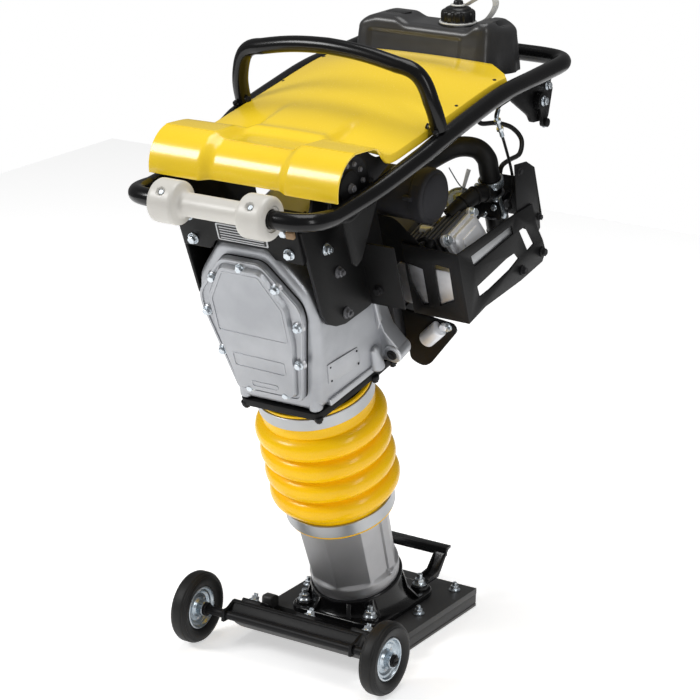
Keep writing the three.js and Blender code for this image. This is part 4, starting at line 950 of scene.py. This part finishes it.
def bend(start, corner, end, steps=14):
    """Points of a round bend from start to end, pulled towards a corner."""
    a, b, c = Vector(start), Vector(corner), Vector(end)
    pull = 0.78
    return [
        a * (1 - t) ** 3 + a.lerp(b, pull) * (3 * t * (1 - t) ** 2) + c.lerp(b, pull) * (3 * t ** 2 * (1 - t))
        + c * t ** 3
        for t in (k / steps for k in range(steps + 1))
    ]


def handle_side():
    side = [
        (179, -412, 874), (180, -367, 880), (186.5, -291, 895), (196, -180, 925), (200, -129, 941),
        (200, -20, 965), (200, 83, 984), (200, 190, 992), (200, 275, 998),
    ]
    front = bend((112.5, ROLLER_Y, ROLLER_Z), (179, ROLLER_Y, ROLLER_Z), side[0])
    rear = bend((200, 275, 998), (200, 332, 1002), (132, 332, 1003))
    return front + smooth_path(side, 5)[1:-1] + rear


def build_handle():
    right = handle_side()
    left = [Vector((-p.x, p.y, p.z)) for p in reversed(right)]
    front = [Vector((x, ROLLER_Y, ROLLER_Z)) for x in (-80, -40, 0, 40, 80)]
    rear = [Vector((x, 332, 1003)) for x in (88, 44, 0, -44, -88)]
    bm = bmesh.new()
    sweep(bm, right + rear + left + front, 15, 28, loop=True)
    for sign in (-1, 1):
        for y in (-366, -288):
            cylinder(bm, (sign * 163, y, 895.5 if y > -300 else 880.2), (sign, 0, 0), 9, 20, 24)
    finish_piece("handle_tube", bm, "handle", "gloss_black", GROUND, ("handle_loop",), angle=50)

    bm = bmesh.new()
    turns = [math.radians(a) for a in range(200, 99, -10)]
    outline = [(MOUNT_Y + 30 * math.cos(a), MOUNT_Z + 30 * math.sin(a)) for a in turns]
    outline += [(-270, 906), (-250, 880), (-303, 776), (-318, 768), (-330, 776)]
    for low, high in ((-164, -158.4), (158.4, 164)):
        extrude_outline(bm, "x", low, high, outline)
    finish_piece("handle_gussets", bm, "handle", "black_paint", space=GROUND, bevel=1.4, segments=3)


def build_hoop():
    foot = bend((197, -121, 962), (196, -133, 992), (190.5, -139, 1012), 6)
    shoulder = bend((190.5, -139, 1012), (179, -149, 1063), (136, -155, 1068), 16)
    top = bend((136, -155, 1068), (70, -158.5, 1083), (0, -159, 1085), 14)
    side = foot + shoulder[1:] + top[1:]
    bm = bmesh.new()
    sweep(bm, side + [Vector((-p.x, p.y, p.z)) for p in reversed(side[:-1])], 14, 28)
    finish_piece("hoop_tube", bm, "handle", "gloss_black", space=GROUND, replaces=("hoop",), angle=60)
    bm = bmesh.new()
    for sign in (-1, 1):
        bolt(bm, (sign * 182, -130, 966), (-sign * 0.9, -0.3, 0.3), 3.4, washer=False)
        bolt(bm, (sign * 201, -138, 958), (sign * 0.1, -0.75, 0.65), 3.2, washer=False)
    finish_piece("hoop_screws", bm, "handle", "gloss_black", space=GROUND)


def build_roller():
    end = ROLLER_HALF
    half = [
        (19.6, 0), (19.6, 50), (20.2, 54), (22.2, 57.6), (26.0, 60.2), (31.0, 61.8), (34.2, 63.4),
        (35.9, 66.0), (36.5, 69.6), (36.5, end - 9), (36.0, end - 5), (34.2, end - 2), (31.4, end - 0.4),
        (27.0, end), (21.8, end - 0.3), (20.6, end - 2.4), (16.2, end - 3), (16.0, end - 6),
    ]
    profile = [(r, -x) for r, x in reversed(half[1:])] + half
    bm = bmesh.new()
    turn(bm, profile, 128, (0, ROLLER_Y, ROLLER_Z), "x", closed=True)
    bmesh.ops.subdivide_edges(bm, edges=[
        e for e in bm.edges
        if abs(e.verts[0].co.x - e.verts[1].co.x) > 20 and min(abs(v.co.x) for v in e.verts) > 60
    ], cuts=15, use_grid_fill=True)
    # two flat-bottomed screw pockets on the front of the caps
    tilt, middle = 40, 86.5
    for vertex in bm.verts:
        x, y, z = vertex.co
        radius = math.hypot(y - ROLLER_Y, z - ROLLER_Z)
        if radius < 36:
            continue
        angle = math.degrees(math.atan2(z - ROLLER_Z, ROLLER_Y - y))
        away = math.hypot(abs(x) - middle, (angle - tilt) * 0.637)
        depth = 6.0 * (1 - smoothstep(away, 6.4, 8.0))
        vertex.co.y = ROLLER_Y + (y - ROLLER_Y) * (1 - depth / radius)
        vertex.co.z = ROLLER_Z + (z - ROLLER_Z) * (1 - depth / radius)
    finish_piece("roller_body", bm, "front_roller", "pale_plastic", GROUND, ("roller",), angle=38)
    bm = bmesh.new()
    out = Vector((0, -math.cos(math.radians(tilt)), math.sin(math.radians(tilt))))
    for sign in (-1, 1):
        hexagon(bm, Vector((sign * middle, ROLLER_Y, ROLLER_Z)) + out * 30.2, out, 4.8, 3.4)
    finish_piece("roller_screws", bm, "front_roller", "zinc", space=GROUND)


HOOD_HALF, HOOD_CROWN = 182, 26


def hood_path(radius, dip, rise):
    """The hood's middle line from its front lip over the roll to the tank, on the bulges or between them."""
    line = []
    for k in range(15):
        a = math.radians(190 - 94 * k / 14)
        line.append((MOUNT_Y + radius * math.cos(a), MOUNT_Z + radius * math.sin(a)))
    line += [(-300, 902 + radius), (-276, 947 + dip + rise), (-256, 943 + dip), (-230, 944 + dip * 0.9)]
    line += [(-190, 951 + dip * 0.4), (-150, 958), (-95, 968), (-40, 978), (22, 990), (85, 1000)]
    line += [(126, 1003), (178, 1008)]
    return smooth_path([Vector((0, y, z)) for y, z in line], 4)


def hood_point(raised, flat, across):
    """A point of the hood, across being -1 to 1 from its left to its right edge."""
    point = flat.lerp(raised, smoothstep(abs(across) * HOOD_HALF, 64, 88))
    half = HOOD_HALF if point.y < 128 else HOOD_HALF - 60 * (point.y - 128) / 50
    rise = smoothstep(point.y, -330, -150) - 0.8 * smoothstep(point.y, 40, 178)
    x = across * half
    return Vector((x, point.y, point.z + HOOD_CROWN * rise * (1 - (x / HOOD_HALF) ** 2)))


def build_hood():
    raised = hood_path(62, 0, 4)
    flat = hood_path(51, 12, 0)
    shares = [-1 + 2 * k / 104 for k in range(105)]
    bm = bmesh.new()
    rows = []
    for a, b in zip(raised, flat):
        row = [hood_point(a, b, share) for share in shares]
        drop = 13 * smoothstep(row[0].y, -296, -262) * (1 - smoothstep(row[0].y, 120, 132))
        lip = [Vector((0.7 * k, 0, -drop * k / 4 - 0.02 * k)) for k in range(1, 5)]
        left = [row[0] + Vector((-v.x, v.y, v.z)) for v in reversed(lip)]
        rows.append(left + row + [row[-1] + v for v in lip])
    add_faces(bm, rows, closed_rings=False)
    bmesh.ops.recalc_face_normals(bm, faces=bm.faces)
    if sum(face.normal.z for face in bm.faces) < 0:
        bmesh.ops.reverse_faces(bm, faces=bm.faces)
    piece = new_object("hood_sheet", bm)
    thick = piece.modifiers.new("thick", "SOLIDIFY")
    thick.thickness = 0.0032
    thick.offset = -1
    thick.use_even_offset = True
    round_edges(piece, 0.9, sharper=50)
    dress(piece, "handle", "yellow_paint", ("hood",), 45)

    bm = bmesh.new()
    for sign in (-1, 1):
        for y, z in ((-30, 979.8), (98, 1001.2)):
            cylinder(bm, (sign * 175, y, z + 1), (0, -0.17, 1), 3.6, 1.6, 20, bevel=0.7)
    finish_piece("hood_screws", bm, "handle", "black_plastic", space=GROUND)
    inside = []
    for p in raised:
        if -406 < p.y < -222:
            inward = (Vector((0, MOUNT_Y, MOUNT_Z)) - p).normalized() * 5
            inside.append((p.y + inward.y, p.z + inward.z) if p.y < -300 else (p.y, p.z - 5.5))
    closing = inside + [(-222, 918), (-292, 884), (-348, 852), (-398, 874)]
    bm = bmesh.new()
    for ends in ((-162, -159.5), (159.5, 162)):
        add_faces(bm, [[(x, y, z) for y, z in closing] for x in ends])
    bmesh.ops.holes_fill(bm, edges=[e for e in bm.edges if e.is_boundary])
    finish_piece("hood_end_panels", bm, "handle", "black_paint", space=GROUND)


# ---------------------------------------------------------------- fuel tank
TANK_LOW, TANK_TOP, TANK_FILLET, TANK_MIDDLE = 984, 1061.5, 15, 236
NECK = (20, 236, 0)


def tank_top(x):
    """The tank's top across its width: a hump, a saddle, the neck's flat and a ridge at the right."""
    hump = 9 * smoothstep(x, -162, -122) * (1 - smoothstep(x, -88, -60))
    ridge = 14 * smoothstep(x, 57, 82) * (1 - 0.9 * smoothstep(x, 94, 130))
    ends = -10 * smoothstep(-x, 148, 180)
    return TANK_TOP + hump + ridge + ends


def tank_seat(p):
    """The nearest point of the tank's middle line."""
    return Vector((min(98, max(-144, p.x)), TANK_MIDDLE))


def tank_wall(p, share):
    """A point of the tank's side at a share of its height: tapered, its front sunk, its right end fluted."""
    z = TANK_LOW + (tank_top(p.x) - TANK_FILLET - TANK_LOW) * share
    inset = 5.5 * smoothstep(z, 985, 1046) + 3 * smoothstep(z, 1030, 1060)
    q = p + (tank_seat(p) - p).normalized() * inset
    front = smoothstep(-p.y, -193, -185)
    wide = smoothstep(q.x, -142, -135) * (1 - smoothstep(q.x, 47, 54))
    tall = smoothstep(z, 996, 1001) * (1 - smoothstep(z, 1040, 1046))
    q.y += 3.4 * front * (wide * tall)
    if p.x > 96:
        wave = max(0.0, math.sin((p.y - 190) / 94 * math.pi * 3)) ** 0.8
        q.x += 3.0 * (1 - share) ** 2
        q.x -= 4.0 * wave * (1 - share) * smoothstep(p.x, 96, 112)
    return Vector((q.x, q.y, z))


def tank_cover(p, k):
    """A point of the tank's top: eight steps round the fillet, then four in to the middle line."""
    edge = tank_wall(p, 1.0)
    top = tank_top(edge.x)
    flat = Vector((edge.x, edge.y))
    inward = (tank_seat(p) - flat).normalized()
    if k <= 8:
        a = math.radians(90 * k / 8)
        z = top - TANK_FILLET + TANK_FILLET * math.sin(a)
        spot = flat + inward * (TANK_FILLET * (1 - math.cos(a)))
    else:
        z = top
        spot = (flat + inward * TANK_FILLET).lerp(tank_seat(p), (k - 8) / 4 * 0.985)
    return Vector((spot.x, spot.y, min(z, tank_top(spot.x))))


def close_strip(bm, ring):
    """Closes a long thin ring with triangles between its front and back edges, from right to left."""
    count = len(ring)
    first = max(range(count), key=lambda i: ring[i].co.x)
    last = min(range(count), key=lambda i: ring[i].co.x)
    a = b = first
    while a != last or b != last:
        after, before = (a + 1) % count, (b - 1) % count
        forward = b == last or (a != last and ring[after].co.x >= ring[before].co.x)
        corners = {a, b, after if forward else before}
        if len(corners) == 3:
            bm.faces.new([ring[i] for i in corners])
        if forward:
            a = after
        else:
            b = before


def build_tank():
    plan = rounded([(-168, 184), (100, 184), (130, 244), (126, 286), (-181, 286)], 17, 8)
    outline = []
    for i, point in enumerate(plan):
        after = plan[(i + 1) % len(plan)]
        a, b = Vector(point), Vector(after)
        count = max(1, round((b - a).length / 5))
        outline += [a.lerp(b, k / count) for k in range(count)]
    made = [[tank_wall(p, k / 26) for p in outline] for k in range(27)]
    made += [[tank_cover(p, k) for p in outline] for k in range(1, 13)]
    bm = bmesh.new()
    rows = add_faces(bm, made)
    bm.faces.new(rows[0])
    close_strip(bm, rows[-1])
    # the tank shell's lighter base colour is painted sheen standing in for the highlight on its front
    finish_piece("tank_shell", bm, "handle", "tank_plastic_painted_sheen", space=GROUND, replaces=("fuel_tank",), angle=38)

    # the embossed pad on the hump, the neck and its seal, and the cap's ring and strap
    bm = bmesh.new()
    extrude_outline(bm, "z", 1069.6, 1071.6, rounded([(-124, 222), (-84, 222), (-80, 246), (-128, 246)], 5))
    finish_piece("tank_emboss", bm, "handle", "black_plastic", space=GROUND, bevel=0.9, segments=3)
    for name, slot, profile in (
        ("tank_neck", "black_plastic", [
            (20, 1058), (36, 1058), (36, 1062.6), (34.8, 1064.0), (27, 1064.2), (26, 1064.2), (20, 1064.2)]),
        ("tank_seal", "clear_plastic", [
            (22, 1063.9), (33.2, 1063.9), (33.8, 1064.6), (33.8, 1066.2), (33.2, 1066.8), (22, 1066.8)]),
        ("cap_ring", "clear_plastic", [
            (9.6, 1094.6), (13.6, 1094.6), (14.2, 1095.4), (14.2, 1096.4), (13.6, 1097.0), (9.6, 1097.0)]),
    ):
        lathe(name, profile, "handle", slot, NECK, "z", GROUND)
    bm = bmesh.new()
    path = smooth_path([
        (44, 244, 1065.2), (58, 248, 1066.4), (74, 252, 1076), (86, 254, 1098), (82, 252, 1114),
        (66, 247, 1116), (50, 241, 1106), (35, 237, 1096),
    ], 8)
    across, thick = Vector((0.62, 0.78, 0)) * 6.0, Vector((0.25, 0, 0.9)) * 0.9
    corners = [-across - thick, across - thick, across + thick, thick - across]
    loft(bm, [[point + corner for corner in corners] for point in path])
    finish_piece("cap_strap", bm, "handle", "clear_plastic", space=GROUND, angle=60)


def build_cap():
    bm = bmesh.new()
    lobes, segments = 12, 144
    rings = []
    for radius, height, depth in (
        (22, 1067.2, 0), (30.2, 1067.2, 2.4), (31.0, 1068.2, 2.6), (31.0, 1080, 2.6), (30.4, 1084, 2.2),
        (28.6, 1086.4, 1.2), (26.4, 1087.4, 0.2), (24.0, 1088.0, 0), (22.6, 1090.4, 0), (19.0, 1092.4, 0),
        (12.6, 1093.6, 0), (9.4, 1094.0, 0), (8.8, 1096.0, 0), (8.6, 1101.0, 0), (7.6, 1103.2, 0),
        (5.0, 1104.2, 0), (0.8, 1104.4, 0),
    ):
        ring = []
        for j in range(segments):
            a = 2 * math.pi * j / segments
            r = radius - depth * max(0.0, -math.cos(a * lobes)) ** 0.6
            ring.append((NECK[0] + r * math.cos(a), NECK[1] + r * math.sin(a), height))
        rings.append(ring)
    loft(bm, rings)
    finish_piece("cap_body", bm, "cap", "black_plastic", space=GROUND, replaces=("fuel_cap",), angle=40)


# ---------------------------------------------------------------- throttle
def build_throttle():
    cad_copy("throttle_mount", "throttle_bracket", "handle", "black_paint", bevel=1.0)
    cad_copy("throttle_arm", "throttle_lever", "throttle", "black_paint", bevel=1.6, segments=3)
    bm = bmesh.new()
    bolt(bm, (202.6, 226, 946), (1, 0, 0), 4.6)
    bolt(bm, (190.2, 262, 966), (1, 0, 0), 4.2)
    finish_piece("throttle_bolts", bm, "handle", "zinc", space=GROUND)
    bm = bmesh.new()
    cylinder(bm, (196, 240, 905), (0.1, 0.5, -0.9), 5.4, 10, 24, bevel=1.2)
    finish_piece("throttle_tip", bm, "throttle", "zinc", space=GROUND)


build_gear_case()
build_case_cover()
build_case_flange()
build_plates()
build_mounts()
build_handle()
build_hoop()
build_roller()
build_hood()
build_tank()
build_cap()
build_throttle()


# ---------------------------------------------------------------- engine
ENGINE_AXIS = 604
CYLINDER_TILT = math.radians(25)
CYLINDER_Y = 251
CYLINDER_UP = Vector((math.cos(CYLINDER_TILT), 0, math.sin(CYLINDER_TILT)))
CYLINDER_SIDE = Vector((-math.sin(CYLINDER_TILT), 0, math.cos(CYLINDER_TILT)))


def on_cylinder(across, along, height):
    """A point of the tilted cylinder's own frame, in the leg's frame."""
    middle = Vector((0, CYLINDER_Y + along, ENGINE_AXIS))
    return middle + CYLINDER_UP * height + CYLINDER_SIDE * across


def build_engine_block():
    cad_copy("crank_housing", "crankcase", "machine", "engine_casting", bevel=3.0, segments=3)
    cad_copy("clutch_shell", "clutch_housing", "machine", "engine_casting", bevel=2.0)
    cad_copy("fins", "cylinder", "machine", "engine_casting", bevel=0.5)
    cad_copy("engine_mount", "engine_bracket", "machine", "black_paint", bevel=1.0)
    clutch_bolts = circle(6, 66, 0.3)
    bm = bmesh.new()
    for x, z in clutch_bolts:
        cylinder(bm, (x, 134, ENGINE_AXIS + z), (0, 1, 0), 8, 14, 24, bevel=1)
    for x in (-70, -35, 35, 70):
        cylinder(bm, (x, 300, 548), (0, 1, 0), 7, 4, 20, bevel=1)
    for z in (560, 584, 608):
        box(bm, (84.5, 178, z), (89.5, 270, z + 6))
    finish_piece("casting_ribs", bm, "machine", "engine_casting", bevel=1.0)
    bm = bmesh.new()
    for x, z in clutch_bolts:
        bolt(bm, (x, 132.5, ENGINE_AXIS + z), (0, -1, 0), 3.6, washer=False)
    bolt(bm, (86, 190, 541), (1, 0, 0), 5.0)
    bolt(bm, (86, 262, 541), (1, 0, 0), 5.0)
    bolt(bm, (187, 157.8, 584), (0, -1, 0), 4.4)
    finish_piece("block_bolts", bm, "machine", "zinc")


def build_valve_cover():
    bm = bmesh.new()
    rings = []
    for wide, deep, corner, height in (
        (41, 47, 11, 212.4), (41, 47, 11, 219.4), (40, 46, 11, 220.6), (35, 40, 12, 221.0),
        (34.4, 39.4, 12, 226), (33.0, 38.0, 12, 229.6), (29.0, 34.0, 11, 232.2), (22.0, 28.0, 9, 233.0),
        (21.4, 27.4, 9, 234.6), (19.6, 25.6, 8, 235.6),
    ):
        flat = rounded([(-wide, -deep), (wide, -deep), (wide, deep), (-wide, deep)], corner, 8)
        rings.append([on_cylinder(a, b, height) for a, b in flat])
    loft(bm, rings)
    corners = [(a, b) for a in (-36, 36) for b in (-45, 45)]
    for a, b in corners:
        cylinder(bm, on_cylinder(a, b, 212.4), CYLINDER_UP, 10.5, 8.6, 32, bevel=1.2)
        cylinder(bm, on_cylinder(a * 0.86, b * 0.86, 220), CYLINDER_UP, 7.0, 7.0, 24, top=4.6, bevel=1.0)
    finish_piece("rocker_cover", bm, "machine", "bright_casting", replaces=("valve_cover",), angle=28)
    bm = bmesh.new()
    for a, b in corners:
        bolt(bm, on_cylinder(a, b, 220.9), CYLINDER_UP, 4.6, spin=a * 0.1)
    finish_piece("rocker_bolts", bm, "machine", "zinc")

    # spark plug, its boot and the lead down to the coil
    bm = bmesh.new()
    root = on_cylinder(26, -40, 176)
    out = (CYLINDER_UP * 0.30 + Vector((0, -0.6, 0.6))).normalized()
    cylinder(bm, root, out, 6.2, 24, 24, top=5.6, bevel=1.0)
    cylinder(bm, root + out * 20, out, 8.4, 20, 24, bevel=2.0)
    lead = smooth_path([root + out * 36, root + out * 44 + Vector((-10, 0, 6)), root + Vector((-46, -30, 6)),
                        root + Vector((-66, -8, -4)), Vector((80, 206, 664)), Vector((84, 212, 640))], 8)
    sweep(bm, lead, 3.6, 14)
    finish_piece("spark_boot", bm, "machine", "black_rubber", angle=50)


def build_muffler():
    cad_copy("silencer", "muffler", "machine", "steel", bevel=4.0, segments=4)
    cad_copy("guard", "muffler_guard", "machine", "black_paint", bevel=0.9)
    cad_copy("shield", "heat_shield", "machine", "band_steel", bevel=0.5)
    bm = bmesh.new()
    for k in range(7):
        y = 196 + 22 * k
        z = 708.5 - 0.17 * (y - 178)
        add_web(bm, [Vector((230.7, y, z + 9)), Vector((230.7, y + 11, z + 7)),
                     Vector((230.7, y + 7, z - 16)), Vector((230.7, y - 4, z - 14))], Vector((0.9, 0, 0)))
    finish_piece("shield_ribs", bm, "machine", "steel", bevel=0.5)
    bm = bmesh.new()
    cylinder(bm, (142, 151, 552), (0.72, 0, 0.69), 15, 46, 40, bevel=2.5)
    cylinder(bm, (182, 157, 586), (0, -1, 0), 7, 9, 28, bevel=1)
    finish_piece("bracket_boss", bm, "machine", "bright_casting", bevel=1.0)
    bm = bmesh.new()
    for y, z in ((178, 694), (178, 634), (188, 700)):
        cylinder(bm, (216, y, z), (1, 0, 0), 4.4, 6, 18, bevel=0.8)
    finish_piece("muffler_studs", bm, "machine", "zinc")


def build_air_filter():
    y, z = 205, 816
    cad_copy("filter_housing", "air_filter", "machine", "grey_plastic", bevel=1.6, segments=3)
    bm = bmesh.new()
    turn(bm, [
        (45.4, 151.9), (47.0, 153.4), (47.2, 156), (47.2, 170.6), (46.6, 173.6), (44.8, 176.0), (42.4, 177.2),
        (41.0, 177.5), (40.4, 178.8), (37.4, 180.8), (28, 183.2), (14, 184.8), (2, 185.4),
    ], 112, (0, y, z), "x")
    finish_piece("filter_cap", bm, "machine", "grey_plastic", replaces=("air_filter_cap",), angle=36)
    bm = bmesh.new()
    for a in (0.6, 2.7, 4.8):
        at = Vector((151.5, y + 46.5 * math.cos(a), z + 46.5 * math.sin(a)))
        box(bm, at - Vector((9, 4, 4)), at + Vector((9, 4, 4)))
    finish_piece("filter_clips", bm, "machine", "grey_plastic", bevel=1.2)


CARBURETTOR = (165, 396)


def build_intake():
    x, y = CARBURETTOR
    hose = smooth_path([
        (92, 267.4, 808), (92, 283.4, 808), (98, 330, 805), (118, 376, 803), (145, 396, 794), (163, 397, 776),
        (x, y, 752), (x, y, 734), (x, y, 716.4),
    ], 10)

    def radius(share):
        cuff = 1.6 * max(smoothstep(-share, -0.09, -0.07), smoothstep(share, 0.93, 0.95))
        return 17.8 + cuff * 0.75
    bm = bmesh.new()
    sweep(bm, hose, radius, 40)
    finish_piece("air_hose", bm, "machine", "black_rubber", replaces=("intake_hose",), angle=60)

    lathe("clamp_band", [
        (19.4, 722), (22.0, 722), (22.6, 722.8), (22.0, 724), (22.0, 733), (22.6, 734.2), (22.0, 735),
        (19.4, 735),
    ], "machine", "zinc", (x, y, 0), "z", LEG, ("hose_clamp",), 72)
    bm = bmesh.new()
    a = math.radians(-120)
    lug = Vector((x + 25 * math.cos(a), y + 25 * math.sin(a), 728.5))
    across = Vector((-math.sin(a), math.cos(a), 0))
    cylinder(bm, lug - across * 9, across, 5.0, 18, 24, bevel=1.0)
    hexagon(bm, lug + across * 9, across, 5.6, 4.0)
    tall = Vector((0, 0, 3.4))
    for k in range(14):
        b = math.radians(-70 + 12 * k)
        out = Vector((math.cos(b), math.sin(b), 0))
        along = Vector((-out.y, out.x, 0)) * 0.7
        spot = Vector((x, y, 728.5)) + out * 22.2
        tooth = [spot - along - tall, spot + along - tall, spot + along + tall, spot - along + tall]
        add_web(bm, tooth, out * 0.35)
    finish_piece("clamp_screw", bm, "machine", "zinc")


def build_carburettor():
    cad_copy("carburettor_body", "carburettor", "machine", "black_paint", bevel=1.6, segments=3)
    cad_copy("choke", "choke_lever", "choke", "zinc", bevel=0.7)
    bm = bmesh.new()
    cylinder(bm, (165, 396, 632.2), (0, 0, -1), 22.4, 8, 40, top=17, bevel=1.6)
    cylinder(bm, (165, 396, 664), (0, 0, 1), 23.2, 4, 40, bevel=0.9)
    cylinder(bm, (165, 396, 703), (0, 0, 1), 21, 5, 40, bevel=1.0)
    cylinder(bm, (186.3, 396, 686), (1, 0, 0), 8.5, 5, 28, bevel=1.0)
    cylinder(bm, (142.8, 390, 690), (-1, 0, 0), 9, 6, 28, bevel=1.0)
    finish_piece("carburettor_trim", bm, "machine", "engine_casting", angle=30)
    bm = bmesh.new()
    for spot, way in (
        ((148, 376, 704), (0, 0, 1)), ((180, 378, 704), (0, 0, 1)), ((150, 414, 704), (0, 0, 1)),
        ((165, 396, 624), (0, 0, -1)), ((176, 375.6, 690), (0, -1, 0)), ((154, 375.6, 674), (0, -1, 0)),
    ):
        bolt(bm, spot, way, 3.4, washer=False)
    finish_piece("carburettor_screws", bm, "machine", "zinc")

    # the governor: a dished bracket, its flat lever and the thin link rod
    bm = bmesh.new()
    up = Vector((0.25, -0.35, 0.9)).normalized()
    hub = Vector((128, 344, 716))
    cylinder(bm, hub, up, 27, 2.2, 48, top=25, bevel=0.6)
    cylinder(bm, hub + up * 2, up, 20, 9, 40, top=11, bevel=1.0)
    cylinder(bm, hub + up * 10, up, 5.4, 8, 24, bevel=0.8)
    lug = [Vector((118, y, z)) for y, z in ((322, 700), (344, 694), (350, 672), (330, 672))]
    add_web(bm, lug,
            Vector((1.2, 0, 0)))
    finish_piece("governor_plate", bm, "machine", "zinc", angle=30)
    bm = bmesh.new()
    low, high = Vector((130, 352, 724)), Vector((132, 384, 756))
    side = Vector((0, -0.62, 0.55)) * 6.5
    blade = [low - side * 0.8, low + side * 0.8, high + side * 1.25, high - side * 1.25]
    add_web(bm, blade, Vector((0.9, 0.1, 0)))
    finish_piece("governor_lever", bm, "machine", "clear_plastic", bevel=0.6)
    bm = bmesh.new()
    link = [(128, 331, 790), (129, 336, 776), (130, 346, 752), (131, 354, 738), (140, 366, 718)]
    sweep(bm, smooth_path(link, 6), 1.1, 10)
    turns, steps = 9, 119
    spring = []
    for k in range(steps + 1):
        a = 2 * math.pi * turns * k / steps
        base = Vector((134, 340, 722)).lerp(Vector((150, 372, 712)), k / steps)
        spring.append(base + Vector((2.6 * math.cos(a), 0, 2.6 * math.sin(a))))
    sweep(bm, spring, 0.55, 8)
    finish_piece("governor_link", bm, "machine", "zinc", angle=60)
    bm = bmesh.new()
    cylinder(bm, (122, 300, 704), (0.2, -0.8, 0.3), 6.4, 16, 6, bevel=0.8)
    cylinder(bm, (119, 290, 707), (0.2, -0.8, 0.3), 4.4, 14, 20, bevel=0.6)
    finish_piece("brass_fitting", bm, "machine", "brass", angle=30)
    bm = bmesh.new()
    for y, z, r in ((262, 700, 9), (246, 690, 7), (300, 684, 8)):
        cylinder(bm, (96, y, z), (1, 0, 0.1), r, 26, 24, top=r - 1.5, bevel=1.2)
    box(bm, (96, 236, 668), (116, 300, 688))
    finish_piece("head_casting", bm, "machine", "bright_casting", bevel=1.4)


def build_cowl():
    """The black sheet on the engine's near side, and the rubber elbow from the head to the carburettor."""
    bm = bmesh.new()
    outline = rounded([(58, 700), (150, 706), (176, 712), (166, 742), (120, 792), (58, 800)], 10, 5)
    extrude_outline(bm, "y", 158, 160.4, outline)
    finish_piece("engine_cowl", bm, "machine", "black_paint", bevel=0.8)
    bm = bmesh.new()
    route = smooth_path([
        (138, 292, 716), (150, 318, 726), (160, 346, 730), (166, 372, 720), (166, 392, 704),
    ], 8)
    sweep(bm, route, 15, 28)
    for k in (0.3, 0.5, 0.7):
        spot = route[int(k * (len(route) - 1))]
        ahead = route[int(k * (len(route) - 1)) + 1] - spot
        cylinder(bm, spot - ahead.normalized() * 2, ahead, 17, 4, 32, bevel=1.2)
    finish_piece("intake_elbow", bm, "machine", "black_rubber", angle=50)


def build_carburettor_guard():
    cad_copy("rear_guard", "carburettor_guard", "machine", "black_paint", bevel=1.0)
    for name, x, size, places in (
        ("rear_guard_bolts", 234, 3.4, ((384, 768), (424, 650))),
        ("side_guard_bolts", 237, 4.6, ((412, 585), (340, 592))),
    ):
        spots = [((x, y, z), (1, 0, 0)) for y, z in places]
        bolt_ring(name, spots, "machine", size=size, slot="black_paint")


def build_lines():
    """The fuel hose and the throttle cable, each held at its ends on both sides of the rubber mounts."""
    hose = [
        (100, 204, 983.4), (100, 204, 972), (101, 188, 940), (104, 172, 914), (108, 174, 903),
        (120, 207, 899), (135, 236, 887), (150, 245, 866), (160, 222, 846), (166, 176, 845),
        (166, 149, 840), (165, 143, 826), (165, 143.2, 815),
    ]
    cable = [
        (187, 133.4, 964), (187, 120, 962), (187, 98, 958), (188, 84, 948), (189, 85, 937), (190, 108, 898),
        (190, 135, 847), (190, 147, 815), (190, 147, 798), (190, 131, 779),
    ]
    for name, node, route, size in (
        ("fuel_line", "fuel_hose", hose, 4.3), ("cable_sleeve", "throttle_cable", cable, 2.6),
    ):
        bm = bmesh.new()
        sweep(bm, smooth_path(route, 10), size, 18)
        piece = finish_piece(name, bm, None, "black_rubber", space=GROUND, replaces=(node,), angle=60)
        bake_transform(piece)
    bm = bmesh.new()
    screw = [Vector(p) for p in ((187.6, 92, 954), (188.6, 84.6, 941), (189.2, 92, 927), (189.9, 104, 905))]
    sweep(bm, smooth_path(screw, 8), 4.0, 20)
    for share in (0.1, 0.55):
        hexagon(bm, screw[1].lerp(screw[3], share), screw[3] - screw[1], 6.6, 6)
    piece = finish_piece("cable_adjuster", bm, None, "zinc", space=GROUND, angle=40)
    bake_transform(piece)


def build_starter():
    cad_copy("recoil_cover", "starter_housing", "machine", "black_plastic", bevel=3.0, segments=3)
    bm = bmesh.new()
    hub = Vector((0, 346.2, ENGINE_AXIS))
    rope_side = math.radians(161)
    for k in range(18):
        a = 2 * math.pi * k / 18
        if abs((a - rope_side + math.pi) % (2 * math.pi) - math.pi) < 0.25:
            continue
        out = Vector((math.cos(a), 0, math.sin(a)))
        side = Vector((-math.sin(a), 0, math.cos(a)))
        low, high = out * 34 + hub, out * 74 + hub
        rib = [low - side * 2, low + side * 2, high + side * 3.4, high - side * 3.4]
        add_web(bm, rib, Vector((0, 1.6, 0)))
    turn(bm, [(27, 344), (27, 348.6), (25.4, 350), (4, 350.8)], 48, (0, 0, ENGINE_AXIS), "y")
    finish_piece("recoil_ribs", bm, "machine", "black_plastic", bevel=0.9)
    places = [
        ((79 * math.cos(a), 346, ENGINE_AXIS + 79 * math.sin(a)), (0, 1, 0)) for a in (0.5, 2.05, 3.6, 5.3)
    ]
    bolt_ring("recoil_bolts", places, "machine", size=3.4)

    bm = bmesh.new()
    sweep(bm, [Vector((-58, 334.5 + 1.9 * k, ENGINE_AXIS + 20)) for k in range(11)], 3.0, 16)
    rope = finish_piece("pull_rope", bm, None, "black_rubber", replaces=("starter_rope",), angle=60)
    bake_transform(rope)
    cad_copy("pull_grip", "starter_grip", "grip", "black_rubber", bevel=3.0, segments=4)


build_engine_block()
build_valve_cover()
build_muffler()
build_air_filter()
build_intake()
build_carburettor()
build_cowl()
build_carburettor_guard()
build_lines()
build_starter()


# ---------------------------------------------------------------- what stays as CAD
def paint_cad_nodes():
    """The CAD nodes that stay as they are get their slot's material."""
    for part in frame["record"]["subparts"]:
        for place in frame["nodes"][part["node"]].material_slots:
            place.material = MATERIALS[part["material_slot"]]


paint_cad_nodes()
